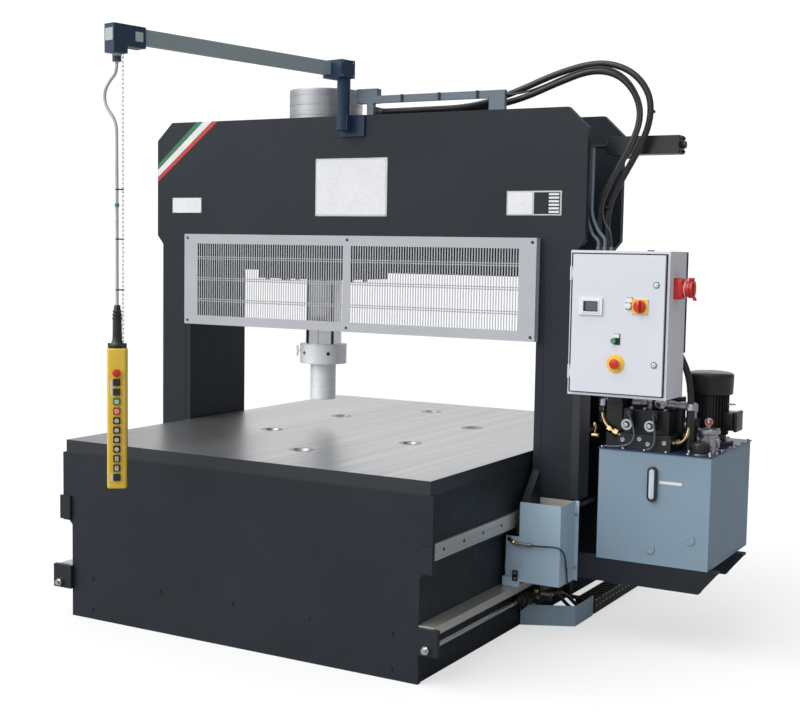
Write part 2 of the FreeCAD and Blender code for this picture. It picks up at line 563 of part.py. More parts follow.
def lower_cover(side):
    """The low skirt round a foot: a slanted front, a straight side and a tab on the clamp."""
    slant = [("low_cover_in", "low_cover_front"), ("low_cover_out", "low_cover_bend"),
             ("low_cover_out - sheet", "low_cover_bend + sheet"), ("low_cover_in", "low_cover_front + 1.1 * sheet")]
    straight = [("low_cover_out", "low_cover_bend"), ("low_cover_out", "low_cover_back"),
                ("low_cover_out - sheet", "low_cover_back"), ("low_cover_out - sheet", "low_cover_bend + sheet")]
    height = ("low_cover_low", "low_cover_top")
    slope = "(low_cover_bend - low_cover_front) / (low_cover_out - low_cover_in)"
    tab_y = f"low_cover_front + 1.1 * sheet + (rod_x - low_cover_in) * {slope}"
    return [plate("skirt_front", "XY_Plane", mirrored(slant, side), height),
            plate("skirt_side", "XY_Plane", mirrored(straight, side), height),
            box("skirt_tab", across(side, "rod_x - skirt_tab_half", "rod_x + skirt_tab_half"),
                (f"{tab_y} + skirt_tab_half * {slope}", f"{tab_y} + skirt_tab_half * {slope} + skirt_tab_depth"),
                ("low_cover_top - skirt_tab_drop", "clamp_low"))]


def foot_covers():
    """Light sheet covers round both feet, and the sensor plug on the right one."""
    pieces = []
    for side in (1, -1):
        pieces += upper_cover(side)
        pieces += lower_cover(side)
    node("foot_covers", *pieces)
    centre = ("cover_front - plug_nut_radius", "plug_level")
    barrel = rod("plug_barrel", "x", centre, ("plug_start", "plug_start + plug_length"), "plug_radius")
    ring = rod("plug_nut_ring", "x", centre, ("plug_start + plug_length", "plug_start + plug_length + plug_nut"),
               "plug_nut_radius")
    node("sensor_plug", fuse("plug", barrel, ring))


def ram_guard():
    """A pan of sheet with two windows of upright slots, stiffened by pairs of wires."""
    body = doc.addObject("PartDesign::Body", "guard_sheet_body")
    face = sketch_on(body, "XZ_Plane", "guard_face")
    outline(face, [("-guard_half", "guard_low"), ("guard_half", "guard_low"),
                   ("guard_half", "guard_top"), ("-guard_half", "guard_top")])
    pad = body.newObject("PartDesign::Pad", "guard_pad")
    pad.Profile = face
    bind(pad, "Length", "guard_sheet")
    slots = sketch_on(body, "XZ_Plane", "guard_slots")
    for start in ("window_in", "-(window_in + slot_run + slot)"):
        outline(slots, [(start, "window_low"), (f"{start} + slot", "window_low"),
                        (f"{start} + slot", "window_top"), (start, "window_top")])
    doc.recompute()
    pocket = body.newObject("PartDesign::Pocket", "guard_pocket")
    pocket.Profile = slots
    pocket.Reversed = True
    pocket.Type = "ThroughAll"
    doc.recompute()
    pattern = body.newObject("PartDesign::LinearPattern", "guard_pattern")
    pattern.Originals = [pocket]
    pattern.Direction = (slots, ["H_Axis"])
    bind(pattern, "Length", "slot_run")
    bind(pattern, "Occurrences", "slot_run / slot_pitch + 1")
    body.Tip = pattern
    bind(body, "Placement.Base.y", "guard_front + guard_sheet")
    depth = ("guard_front + guard_sheet", "-portal_half")
    sides = [box("guard_side", across(side, "guard_half - guard_sheet", "guard_half"), depth,
                 ("guard_low", "guard_top")) for side in (1, -1)]
    shelf = ("-(guard_half - guard_sheet)", "guard_half - guard_sheet")
    sides.append(box("guard_shelf", shelf, depth, ("guard_top - guard_sheet", "guard_top")))
    sides.append(box("guard_sill", shelf, depth, ("guard_low", "guard_low + guard_sheet")))
    wires = []
    for row in range(3):
        for pair in range(2):
            level = f"wire_first + {row} * wire_row + {pair} * wire_pair"
            wires.append(rod("guard_wire", "x", ("guard_front + guard_sheet + wire_radius", level),
                             shelf, "wire_radius"))
    node("ram_guard", body, *sides, *wires)


def tank_beams():
    """Two channels that stick out from the right leg and carry the tank."""
    corners = [("leg_out", "tank_beam_low"), ("tank_beam_end - tank_beam_cut", "tank_beam_low"),
               ("tank_beam_end", "tank_low - beam_web"), ("tank_beam_end", "tank_low"),
               ("leg_out", "tank_low")]
    beams = []
    for face in ("-portal_half", "rear_beam"):
        web = plate("beam_web_plate", "XZ_Plane", corners, (face, face + " + beam_web"))
        top = box("beam_top_flange", ("leg_out", "tank_beam_end"), (face, face + " + beam_flange"),
                  ("tank_low - beam_web", "tank_low"))
        low = box("beam_low_flange", ("leg_out", "tank_beam_end - tank_beam_cut"),
                  (face, face + " + beam_flange"), ("tank_beam_low", "tank_beam_low + beam_web"))
        beams.append(fuse("tank_beam", web, top, low))
    node("tank_beams", *beams)


def tank():
    """A tank welded from five sheets, under a plain lid."""
    x = ("tank_left", "tank_right")
    inner = ("tank_left + tank_wall", "tank_right - tank_wall")
    y = ("tank_front + tank_wall", "tank_back - tank_wall")
    z = ("tank_low + tank_wall", "tank_top")
    node("tank", box("tank_bottom", x, ("tank_front", "tank_back"), ("tank_low", "tank_low + tank_wall")),
         box("tank_front_sheet", x, ("tank_front", "tank_front + tank_wall"), z),
         box("tank_back_sheet", x, ("tank_back - tank_wall", "tank_back"), z),
         box("tank_left_sheet", ("tank_left", inner[0]), y, z),
         box("tank_right_sheet", (inner[1], "tank_right"), y, z),
         box("tank_lid_sheet", ("tank_left - lid", "tank_right + lid"), ("tank_front - lid", "tank_back + lid"),
             ("tank_top", "tank_floor")))


def motor():
    """The pump motor: a foot flange, a round body, a fan cowl and a terminal box."""
    centre = ("motor_x", "motor_y")
    flange = rod("motor_flange", "z", centre, ("tank_floor", "motor_low"), "motor_foot")
    body = rod("motor_body", "z", centre, ("motor_low", "motor_top"), "motor_radius")
    cowl = rod("motor_cowl", "z", centre, ("motor_top", "cowl_top"), "cowl_radius")
    hollow = rod("cowl_hollow", "z", centre, ("motor_top + cowl_wall", "cowl_top - cowl_wall"),
                 "cowl_radius - cowl_wall")
    shaft_way = rod("shaft_way", "z", centre, ("motor_low", "motor_top + cowl_wall"),
                    "shaft_radius + running_gap")
    vents = [rod("cowl_vent", "z", (f"motor_x + ({x})", f"motor_y + ({y})"), ("cowl_top - cowl_wall", "cowl_top"),
                 "vent_radius") for x, y in (("vent_ring", "0"), ("-vent_ring", "0"), ("0", "vent_ring"),
                                             ("0", "-vent_ring"))]
    box_start = "motor_x + motor_radius - cowl_wall"
    terminals = box("terminal_box", (box_start, "motor_x + motor_radius + box_depth"),
                    ("motor_y - box_half", "motor_y + box_half"), ("box_low", "box_top"))
    blank = fuse("motor_blank", flange, body, cowl, terminals)
    node("motor", cut("motor_housing", blank, hollow, shaft_way, *vents))
    shaft = rod("rotor_shaft", "z", centre, ("motor_low + collar_gap", "fan_low + fan_length"), "shaft_radius")
    fan = rod("rotor_fan", "z", centre, ("fan_low", "fan_low + fan_length"), "fan_radius")
    node("motor_rotor", fuse("rotor", shaft, fan))


def power_pack():
    """Valve block with two solenoids and hose fittings, and the filter, breather and gauges."""
    floor = "tank_floor"
    base_top = floor + " + valve_base"
    body_top = base_top + " + valve_body"
    pieces = [box("valve_base_block", ("valve_left", "valve_right"), ("valve_front", "valve_back"),
                  (floor, base_top)),
              box("valve_body_block", ("valve_left + valve_inset", "valve_body_right"),
                  ("valve_body_front", "valve_body_back"), (base_top, body_top)),
              box("valve_stack_block", ("stack_left", "stack_right"), ("stack_front", "stack_back"),
                  (floor, floor + " + stack"))]
    for i in range(2):
        centre = (f"solenoid_first + {i} * solenoid_pitch", floor + " + solenoid_level")
        front = "valve_body_front - solenoid_length"
        pieces.append(rod("solenoid", "y", centre, (front, "valve_body_front"), "solenoid_radius"))
        pieces.append(rod("solenoid_cap", "y", centre, (front + " - solenoid_nut", front), "solenoid_nut_radius"))
    fitting = rod("left_fitting", "z", ("left_fitting_x", "fitting_y"), ("left_fitting_low", "fitting_top"),
                  "fitting_radius")
    pipe = rod("left_pipe", "x", ("fitting_y", "pipe_level"), ("left_fitting_x", "stack_left"), "pipe_radius")
    pieces.append(fuse("left_elbow", fitting, pipe))
    pieces.append(rod("right_fitting", "z", ("right_fitting_x", "fitting_y"), (floor, "fitting_top"),
                      "fitting_radius"))
    gauge = ("gauge_x", "gauge_level")
    pieces.append(rod("gauge_stem_bar", "z", ("gauge_x", "gauge_y"), (body_top, "gauge_stem_top"), "gauge_stem"))
    pieces.append(rod("pressure_gauge", "y", gauge, ("gauge_y - gauge_half", "gauge_y + gauge_half"),
                      "gauge_radius"))
    node("valve_block", *pieces)
    centre = ("filter_x", "filter_y")
    levels = [floor]
    for part in ("filter_head", "filter_flange", "filter_stem"):
        levels.append(f"{levels[-1]} + {part}")
    front = ("tank_front - plug_cap", "tank_front")
    node("tank_fittings",
         rod("filter_head_piece", "z", centre, (levels[0], levels[1]), "filter_radius"),
         rod("filter_flange_piece", "z", centre, (levels[1], levels[2]), "filter_flange_radius"),
         rod("filter_stem_piece", "z", centre, (levels[2], levels[3]), "filter_stem_radius"),
         rod("filter_dial", "y", ("filter_x", levels[3] + " + filter_dial_radius"),
             ("filter_y - filter_dial_half", "filter_y + filter_dial_half"), "filter_dial_radius"),
         rod("breather_cap", "z", ("breather_x", "breather_y"), (floor, floor + " + breather"),
             "breather_radius"),
         box("level_gauge", ("level_x - level_half", "level_x + level_half"),
             ("tank_front - level_depth", "tank_front"), ("level_low", "level_top")),
         rod("tank_plug", "y", ("plug_x", "plug_z"), front, "plug_cap_radius"),
         rod("tank_drain", "y", ("drain_x", "drain_z"), front, "plug_cap_radius"))


def cabinet():
    """The sheet cabinet on the right leg: an open-fronted box with a rim and hinge pins."""
    wide = ("duct_out", "cabinet_right")
    shell = box("cabinet_shell", wide, ("cabinet_face", "cabinet_back"), ("cabinet_low", "cabinet_top"))
    inside = box("cabinet_inside", ("duct_out + cabinet_wall", "cabinet_right - cabinet_wall"),
                 ("cabinet_face + cabinet_wall", "cabinet_back - cabinet_wall"),
                 ("cabinet_low + cabinet_wall", "cabinet_top - cabinet_wall"))
    mouth = box("cabinet_mouth", ("duct_out + rim", "cabinet_right - rim"),
                ("cabinet_face", "cabinet_face + cabinet_wall"), ("cabinet_low + rim", "cabinet_top - rim"))
    body = cut("cabinet_sheet", shell, inside, mouth)
    pins = []
    for level in hinge_levels():
        for end in hinge_ends(level):
            post = rod("hinge_post", "z", hinge_centre(), end, "hinge_radius")
            foot = box("hinge_foot", ("duct_out + hinge_inset - hinge_radius", "duct_out + hinge_inset + hinge_radius"),
                       ("door_face + hinge_inset", "cabinet_face"), end)
            pins += [post, foot]
        low, high = hinge_ends(level)
        pins.append(rod("hinge_pin_bar", "z", hinge_centre(), (low[0], high[1]), "hinge_pin"))
    node("cabinet_body", fuse("cabinet_with_hinges", body, *pins))


def hinge_levels():
    """The middle height of each door hinge."""
    return ("cabinet_low + hinge_level", "cabinet_top - hinge_level")


def hinge_centre():
    """Where the door's hinge line stands."""
    return ("duct_out + hinge_inset", "door_face + hinge_inset")


def hinge_ends(level):
    """The two posts that hold a hinge pin, under and over the door's knuckle."""
    half = "hinge_length / 2"
    return ((f"{level} - {half} - hinge_post", f"{level} - {half} - control_gap"),
            (f"{level} + {half} + control_gap", f"{level} + {half} + hinge_post"))


def cabinet_door():
    """The door leaf with its knuckles and the fixed display, and the holes for its controls."""
    leaf_x = ("duct_out + door_rim", "cabinet_right - door_rim")
    leaf_z = ("cabinet_low + door_rim", "cabinet_top - door_rim")
    depth = ("door_face", "door_face + door")
    leaf = box("door_leaf", leaf_x, depth, leaf_z)
    knuckles = []
    for level in hinge_levels():
        reach = (f"{level} - hinge_length / 2", f"{level} + hinge_length / 2")
        knuckles.append(rod("knuckle", "z", hinge_centre(), reach, "hinge_radius"))
        knuckles.append(box("knuckle_tongue", ("duct_out + hinge_inset", "duct_out + door_rim + 1"),
                            ("door_face + hinge_inset - tongue_half", "door_face + hinge_inset + tongue_half"), reach))
    display = box("display_bezel", ("display_left", "display_left + display_width"),
                  ("door_face - display_proud", "door_face"), ("display_low", "display_low + display_height"))
    switch_plate = box("switch_plate", ("switch_x - switch_plate_half", "switch_x + switch_plate_half"),
                       ("door_face - switch_plate_proud", "door_face"),
                       ("switch_z - switch_plate_low", "switch_z + switch_plate_top"))
    blank = fuse("door_blank", leaf, display, switch_plate, *knuckles)
    bores = [rod("pin_way", "z", hinge_centre(), ("cabinet_low", "cabinet_top"), "hinge_pin + running_gap")]
    for x, z, radius in (("switch_x", "switch_z", "switch_stem"), ("start_x", "start_z", "button_stem"),
                         ("stop_x", "stop_z", "button_stem"), ("lock_x", "lock_upper", "lock_radius"),
                         ("lock_x", "lock_lower", "lock_radius")):
        bores.append(rod("control_hole", "y", (x, z), ("door_face - display_proud", "door_face + door"),
                         f"{radius} + control_gap"))
    node("cabinet_door", cut("bored_door", blank, *bores))


def door_controls():
    """Each control is a head with a stem through the door."""
    depth = "door_face + door - 2"
    centre = ("switch_x", "switch_z")
    back, middle = "door_face - switch_knob_back", "door_face - switch_knob_front"
    stem = rod("switch_stem_bar", "y", centre, (back, depth), "switch_stem")
    knob = rod("switch_knob_disc", "y", centre, (middle, back), "switch_knob")
    grip = box("switch_grip", ("switch_x - switch_grip_half", "switch_x + switch_grip_half"),
               ("door_face - switch_grip_front", middle),
               ("switch_z - switch_grip_reach", "switch_z + switch_grip_reach"))
    node("main_switch", fuse("switch", stem, knob, grip))
    for label, kind in (("start_button", "start"), ("cabinet_stop", "stop")):
        centre = (kind + "_x", kind + "_z")
        face = f"door_face - {kind}_proud"
        stem = rod("button_stem_bar", "y", centre, (face + " + button_cap", depth), "button_stem")
        cap = rod("button_cap_disc", "y", centre, (face, face + " + button_cap"), kind + "_cap")
        node(label, fuse(label + "_piece", stem, cap))
    for label, z in (("door_lock_upper", "lock_upper"), ("door_lock_lower", "lock_lower")):
        barrel = rod("lock_barrel", "y", ("lock_x", z), ("door_face - 1", depth), "lock_radius")
        flange = rod("lock_flange_disc", "y", ("lock_x", z), ("door_face - lock_proud", "door_face - 1"),
                     "lock_flange")
        node(label, fuse(label + "_piece", barrel, flange))


def power_inlet():
    """A round five-pin inlet on the cabinet's side, with a hinged lid over its mouth."""
    centre = ("inlet_y", "inlet_z")
    root = "cabinet_right + inlet_base"
    out = "cabinet_right + inlet_length"
    base = box("inlet_base_block", ("cabinet_right", root),
               ("inlet_y - inlet_base_half_y", "inlet_y + inlet_base_half_y"),
               ("inlet_z - inlet_base_half_z", "inlet_z + inlet_base_half_z"))
    shell = rod("inlet_shell", "x", centre, (root, out), "inlet_radius - inlet_wall")
    hollow = rod("inlet_hollow", "x", centre, ("cabinet_right + inlet_floor", out), "inlet_radius - 2 * inlet_wall")
    pins = []
    for index in range(5):
        turn = 2 * math.pi * index / 5
        pin_centre = (f"inlet_y + inlet_pin_ring * {math.cos(turn):.4f}",
                      f"inlet_z + inlet_pin_ring * {math.sin(turn):.4f}")
        pins.append(rod("inlet_pin_bar", "x", pin_centre,
                        ("cabinet_right + inlet_floor - 4", "cabinet_right + inlet_pin_end"), "inlet_pin"))
    ears = []
    top = "inlet_z + inlet_radius"
    for low, high in (("inlet_y - ear_out", "inlet_y - ear_in"), ("inlet_y + ear_in", "inlet_y + ear_out")):
        ears.append(box("inlet_ear", (out + " - ear_depth", out), (low, high), (top + " - 12", top + " + ear_tip")))
        ears.append(box("inlet_ear_tip", (out, out + " + ear_tip"), (low, high), (top + " - 2", top + " + ear_tip")))
    body = cut("inlet_cup", fuse("inlet_blank", base, shell), hollow)
    line = inlet_hinge()
    hinge = rod("inlet_hinge_pin", "y", line, ("inlet_y - ear_out", "inlet_y + ear_out"), "lid_pin")
    node("power_inlet", fuse("inlet", body, hinge, *ears, *pins))
    thick = (out + " + lid_gap", out + " + lid_gap + lid_sheet")
    width = ("inlet_y - lid_knuckle_half", "inlet_y + lid_knuckle_half")
    cap = rod("lid_cap", "x", centre, thick, "lid_radius")
    knuckle = rod("lid_knuckle_barrel", "y", line, width, "lid_knuckle")
    arm = box("lid_arm", thick, width, (top + " - 12", line[1]))
    bore = rod("lid_bore", "y", line, ("inlet_y - ear_in", "inlet_y + ear_in"), "lid_pin + running_gap")
    node("inlet_lid", cut("lid", fuse("lid_blank", cap, knuckle, arm), bore))


def inlet_hinge():
    """Where the inlet lid's hinge line lies."""
    return ("cabinet_right + inlet_length + 3", "inlet_z + inlet_radius + 3")


def cable_ducts():
    """The tray on the beam, its end boxes, the bulkhead for the hoses and the duct down the leg."""
    top = "beam_top"
    y = ("tray_front", "tray_back")
    height = ("cover_top + duct_gap", "cheek_end")
    glands = [rod("top_gland", "z", (x, depth), ("cabinet_top", "cabinet_top + gland_height"), r)
              for x, depth, r in (("duct_out + 50", "conduit_gland_y", "conduit_gland"),
                                  ("duct_out + 83", "conduit_gland_y", "conduit_gland"),
                                  ("duct_out + 125", "cable_gland_y", "cable_gland_radius"))]
    node("cable_ducts",
         box("tray_bar", ("tray_left", "tray_right"), y, ("tray_low", "tray_top")),
         box("tray_end", ("tray_foot", "tray_right"), y, (top, "tray_low")),
         box("tray_cap", ("tray_cap_left", "tray_left"), ("tray_front", "tray_back + tray_cap_back"),
             ("tray_cap_low", "tray_cap_top")),
         box("tray_post", ("tray_post_left", "tray_post_right"), y, (top, "tray_cap_low")),
         box("hose_bulkhead", ("bulkhead_left", "bulkhead_right"), ("tray_back", "bulkhead_back"),
             (top, top + " + bulkhead")),
         box("leg_duct", ("leg_out + duct_foot", "duct_out"), ("-portal_half", "duct_back"), height),
         box("duct_foot_strip", ("leg_out", "leg_out + duct_foot"), ("-portal_half", "portal_plate - portal_half"),
             height),
         *glands, hose("conduit_left", "conduit", CONDUIT_LEFT), hose("conduit_right", "conduit", CONDUIT_RIGHT))


def carriage_barrel():
    """The carriage's traverse cylinder, bolted to the end of the back plate."""
    low, high = "cross_z - cross_half", "cross_z + cross_half"
    barrel = box("cross_barrel", ("cross_start", "cross_end"), ("-cross_half", "cross_half"), (low, high))
    arm = box("cross_arm", ("cross_start", "cross_bore_front"), ("cross_half", "portal_half"), (low, high))
    seat = box("cross_seat", ("beam_half", "cross_start"), ("portal_half - portal_plate", "portal_half"),
               (low, high))
    bore = rod("cross_bore", "x", ("0", "cross_z"), ("cross_bore_front", "cross_bore_back"),
               "cross_piston + running_gap")
    way_out = rod("cross_way", "x", ("0", "cross_z"), ("cross_start", "cross_bore_front"),
                  "cross_rod + running_gap")
    end = rod("cross_knob_bar", "x", ("0", "cross_z"), ("cross_end", "cross_end + cross_knob"), "cross_knob_radius")
    node("carriage_barrel", cut("bored_barrel", fuse("barrel_blank", barrel, arm, seat, end), bore, way_out))


def drag_chain():
    """A ladder-like energy chain lying behind the right foot, hung from the rear clamp."""
    length = ("chain_front", "chain_back")
    inside = ("chain_in + chain_side", "chain_out - chain_side")
    pieces = [box("chain_strip", x, length, ("chain_low", "chain_top"))
              for x in (("chain_in", inside[0]), (inside[1], "chain_out"))]
    pieces.append(box("chain_head", inside, ("chain_front", "chain_front + chain_bar"), ("chain_low", "chain_top")))
    count = int((size("chain_back") - size("chain_front")) // size("chain_pitch"))
    for i in range(1, count):
        start = f"chain_front + {i} * chain_pitch"
        for low in ("chain_low", "chain_top - chain_plate"):
            pieces.append(box("chain_bar_plate", inside, (start, start + " + chain_bar"),
                              (low, low + " + chain_plate")))
    across_shelf = ("clamp_y - chain_shelf_half", "clamp_y + chain_shelf_half")
    pieces.append(box("chain_hanger", ("rod_x + chain_hanger_gap", "leg_in"), across_shelf,
                      ("chain_top - chain_shelf", "clamp_low")))
    pieces.append(box("chain_shelf_plate", ("leg_in", "chain_in"), across_shelf,
                      ("chain_top - chain_shelf", "chain_top")))
    node("drag_chain", *pieces)


def arm_bracket():
    """The column that carries the pendant arm, on a pad bolted to the front plate."""
    centre = ("pivot_x", "pivot_y")
    pad = box("column_pad_plate", ("pivot_x - column_pad_left", "pivot_x + column_pad_right"),
              ("-portal_half - column_pad", "-portal_half"), ("column_pad_low", "beam_top"))
    arm = box("column_arm", ("pivot_x - column_radius", "pivot_x + column_radius"),
              ("pivot_y - column_arm_lap", "-portal_half - column_pad"), ("column_low", "beam_top"))
    column = rod("column", "z", centre, ("column_low", "column_top"), "column_radius")
    pin = rod("column_pin_bar", "z", centre, ("column_top", "elbow_top - column_pin_gap"), "column_pin")
    node("arm_bracket", fuse("column_piece", pad, arm, column, pin))


# ---------------------------------------------------------------- carriage and ram

def carriage():
    """The flange under the beam, the yoke on the bars and the rod that drags them across."""
    gap = "slide_gap"
    flange_top = f"beam_bottom - {gap}"
    x = ("ram_x - flange_x", "ram_x + flange_x")
    flange = box("bottom_flange", x, ("-flange_y", "flange_y"), (flange_top + " - carriage_flange", flange_top))
    yoke = box("top_yoke", ("ram_x - yoke_x", "ram_x + yoke_x"), ("-yoke_y", "yoke_y"),
               (f"bar_top + {gap}", f"bar_top + {gap} + yoke"))
    bore_low = rod("flange_bore", "z", ("ram_x", "0"), (flange_top + " - carriage_flange", flange_top),
                   "cylinder_bore")
    bore_high = rod("yoke_bore", "z", ("ram_x", "0"), (f"bar_top + {gap}", f"bar_top + {gap} + yoke"),
                    "cylinder_radius")
    lug_x = "ram_x + cylinder_radius"
    lug = box("rod_lug", (lug_x, lug_x + " + lug"), ("-lug_half", "lug_half"),
              ("cross_z - lug_drop", f"bar_top + {gap}"))
    cross = rod("cross_rod_bar", "x", ("0", "cross_z"), (lug_x + " + lug", "cross_piston_at"), "cross_rod")
    piston = rod("cross_piston_disc", "x", ("0", "cross_z"),
                 ("cross_piston_at", "cross_piston_at + cross_piston_length"), "cross_piston")
    bolts = [rod("flange_bolt", "z", (f"ram_x + {sx}bolt_ring * {a}", f"{sy}bolt_ring * {b}"),
                 (flange_top + " - carriage_flange - bolt_head", flange_top + " - carriage_flange"),
                 "bolt_radius")
             for sx in ("", "-") for sy in ("", "-") for a, b in ((0.97, 0.3), (0.6, 0.9))]
    node("carriage_frame", cut("bored_flange", flange, bore_low), cut("bored_yoke", yoke, bore_high), lug, cross,
         piston, *bolts)
    outer = rod("cylinder_tube", "z", ("ram_x", "0"), (flange_top, "cylinder_top"), "cylinder_radius")
    neck = rod("cylinder_neck", "z", ("ram_x", "0"), (flange_top + " - carriage_flange", flange_top),
               "cylinder_bore")
    bore = rod("cylinder_inside", "z", ("ram_x", "0"), ("gland_top", "cylinder_top - cylinder_cap"),
               "cylinder_bore")
    gland = rod("ram_way", "z", ("ram_x", "0"), (flange_top + " - carriage_flange", "gland_top"),
                "ram_radius + running_gap")
    node("main_cylinder", cut("bored_cylinder", fuse("cylinder_blank", outer, neck), bore, gland))


def ram():
    """The chrome rod with its piston, the clamping collar and the punch in it."""
    centre = ("ram_x", "0")
    stem = rod("ram_stem", "z", centre, ("collar_top", "piston_low"), "ram_radius")
    piston = rod("ram_piston", "z", centre, ("piston_low", "piston_low + ram_piston"), "cylinder_bore - running_gap")
    spigot = rod("ram_spigot", "z", centre, ("collar_top - spigot_length", "collar_top"), "spigot_radius")
    node("ram_rod", fuse("ram_piece", stem, piston, spigot))
    collar = rod("collar_ring", "z", centre, ("collar_low", "collar_top"), "collar_ram")
    seat = rod("collar_seat", "z", centre, ("collar_top - spigot_length", "collar_top"), "spigot_radius")
    level, end = "collar_top - collar_screw_drop", "ram_x - collar_ram - collar_screw_reach"
    handle = rod("collar_screw_bar", "x", ("0", level), (end, "ram_x - spigot_radius"), "collar_screw")
    bar = rod("collar_tommy_bar", "z", (end, "0"), (f"{level} - collar_tommy_half", f"{level} + collar_tommy_half"),
              "collar_tommy")
    node("tool_collar", cut("bored_collar", fuse("collar_blank", collar, handle, bar), seat))
    node("punch", rod("punch_bar", "z", centre, ("punch_low", "collar_low"), "punch_radius"))


# ---------------------------------------------------------------- pendant

def turned(item, angle, x, y):
    """Turn a finished piece about an upright line."""
    item.Placement = FreeCAD.Placement(FreeCAD.Vector(), FreeCAD.Rotation(FreeCAD.Vector(0, 0, 1), 1))
    bind(item, "Placement.Rotation.Angle", angle)
    bind(item, "Placement.Base.x", x)
    bind(item, "Placement.Base.y", y)
    return item


def pendant_arm():
    """The swinging tube with its elbow, outlet head and cable gland, drawn from the pivot."""
    elbow = box("elbow", ("arm_shift - arm_width / 2 - elbow_lap", "elbow_right"), ("elbow_front", "elbow_back"),
                ("column_top + pad_gap", "elbow_top"))
    tube = box("arm_tube", ("arm_shift - arm_width / 2", "arm_shift + arm_width / 2"),
               ("arm_end", "elbow_front"), ("arm_low", "arm_top"))
    head_x = ("arm_shift - head_width / 2", "arm_shift + head_width / 2")
    head = box("arm_head", head_x, ("head_end", "arm_end"), ("head_low", "elbow_top"))
    outlet = box("arm_outlet", head_x, ("head_end", "hang_y + head_width / 2"), ("outlet_low", "head_low"))
    gland = rod("arm_gland", "z", ("arm_shift", "hang_y"), ("gland_low", "outlet_low"), "cable_gland")
    bore = rod("elbow_bore", "z", ("0", "0"), ("column_top", "elbow_top - elbow_roof"),
               "column_pin + running_gap")
    blank = fuse("arm_blank", elbow, tube, head, outlet, gland)
    arm = cut("arm_piece", blank, bore)
    node("pendant_arm", turned(arm, "arm_turn", "pivot_x", "pivot_y"))


def hang_point():
    """Where the pendant hangs, worked out from the arm's turn."""
    text_x = "pivot_x + arm_shift * cos(arm_turn) - hang_y * sin(arm_turn)"
    text_y = "pivot_y + arm_shift * sin(arm_turn) + hang_y * cos(arm_turn)"
    return text_x, text_y


def pendant():
    """The hanging case with its rubber boot and a column of operators that press inwards."""
    hang_x, hang_y = hang_point()
    front = "-case_depth / 2"
    case = box("case_body", across_half("case_width"), across_half("case_depth"), ("case_low", "boot_low"))
    boot = cone("case_boot", "z", ("0", "0"), ("boot_low", "boot_top"), ("boot_foot", "boot_mouth"))
    levels = ["pendant_stop_z"] + [f"(operator_first - {i} * operator_pitch)" for i in range(11)]
    bores = [rod("operator_bore_cut", "y", ("0", z), (front, front + " + operator_bore"),
                 "operator_stem + control_gap") for z in levels]
    body = cut("case_piece", fuse("case_blank", case, boot), *bores)
    node("pendant_case", turned(body, "case_turn", hang_x, hang_y))
    for index, z in enumerate(levels):
        centre = ("0", z)
        out = front + " - operator_stem_out"
        stem = rod("operator_stem_bar", "y", centre, (out, front + " + operator_stem_in"), "operator_stem")
        if index == 0:
            back, face = front + " - pendant_stop_back", front + " - pendant_stop_front"
            cap = rod("operator_cap", "y", centre, (face, back), "pendant_stop_radius")
            neck = rod("operator_neck", "y", centre, (back, out), "operator_stem")
            piece = fuse("operator", stem, neck, cap)
            label = "pendant_stop"
        else:
            cap = box("operator_cap", across_half("operator_size"), (out + " - operator_proud", out),
                      (f"{z} - operator_size / 2", f"{z} + operator_size / 2"))
            piece = fuse("operator", stem, cap)
            label = f"pendant_button_{index:02d}"
        node(label, turned(piece, "case_turn", hang_x, hang_y))


# ---------------------------------------------------------------- hoses and cables

def turn_at(before, corner, after):
    """How far the route turns at a corner, in radians."""
    return (corner - before).getAngle(after - corner)


def route(points):
    """Straight runs joined by arcs that each take 0.45 of the shorter run beside them."""
    corners = [FreeCAD.Vector(*point) for point in points]
    edges = []
    radii = []
    start = corners[0]
    for before, corner, after in zip(corners, corners[1:], corners[2:]):
        way_in = (corner - before).normalize()
        way_out = (after - corner).normalize()
        setback = 0.45 * min((corner - before).Length, (after - corner).Length)
        half = turn_at(before, corner, after) / 2
        radius = setback / math.tan(half)
        first = corner - way_in * setback
        last = corner + way_out * setback
        centre_way = (way_out - way_in).normalize()
        middle = corner + centre_way * (radius / math.cos(half) - radius)
        edges.append(Part.LineSegment(start, first).toShape())
        edges.append(Part.Arc(first, middle, last).toShape())
        radii.append(radius)
        start = last
    edges.append(Part.LineSegment(start, corners[-1]).toShape())
    return Part.Wire(edges), radii


def hose(name, diameter, points):
    """A round tube along a route, checked against its section times its length."""
    path, radii = route(points)
    radius = size(diameter) / 2
    start = FreeCAD.Vector(*points[0])
    heading = FreeCAD.Vector(*points[1]) - start
    section = Part.Wire(Part.Circle(start, heading, radius).toShape())
    solid = path.makePipeShell([section], True, True)
    share = solid.Volume / (math.pi * radius ** 2 * path.Length)
    print(f"{name}: {path.Length:.0f} long, volume share {share:.4f}, radii",
          ", ".join(f"{value:.0f}" for value in radii))
    feature = doc.addObject("Part::Feature", name)
    feature.Shape = solid
    feature.Placement = FreeCAD.Placement()
    return feature


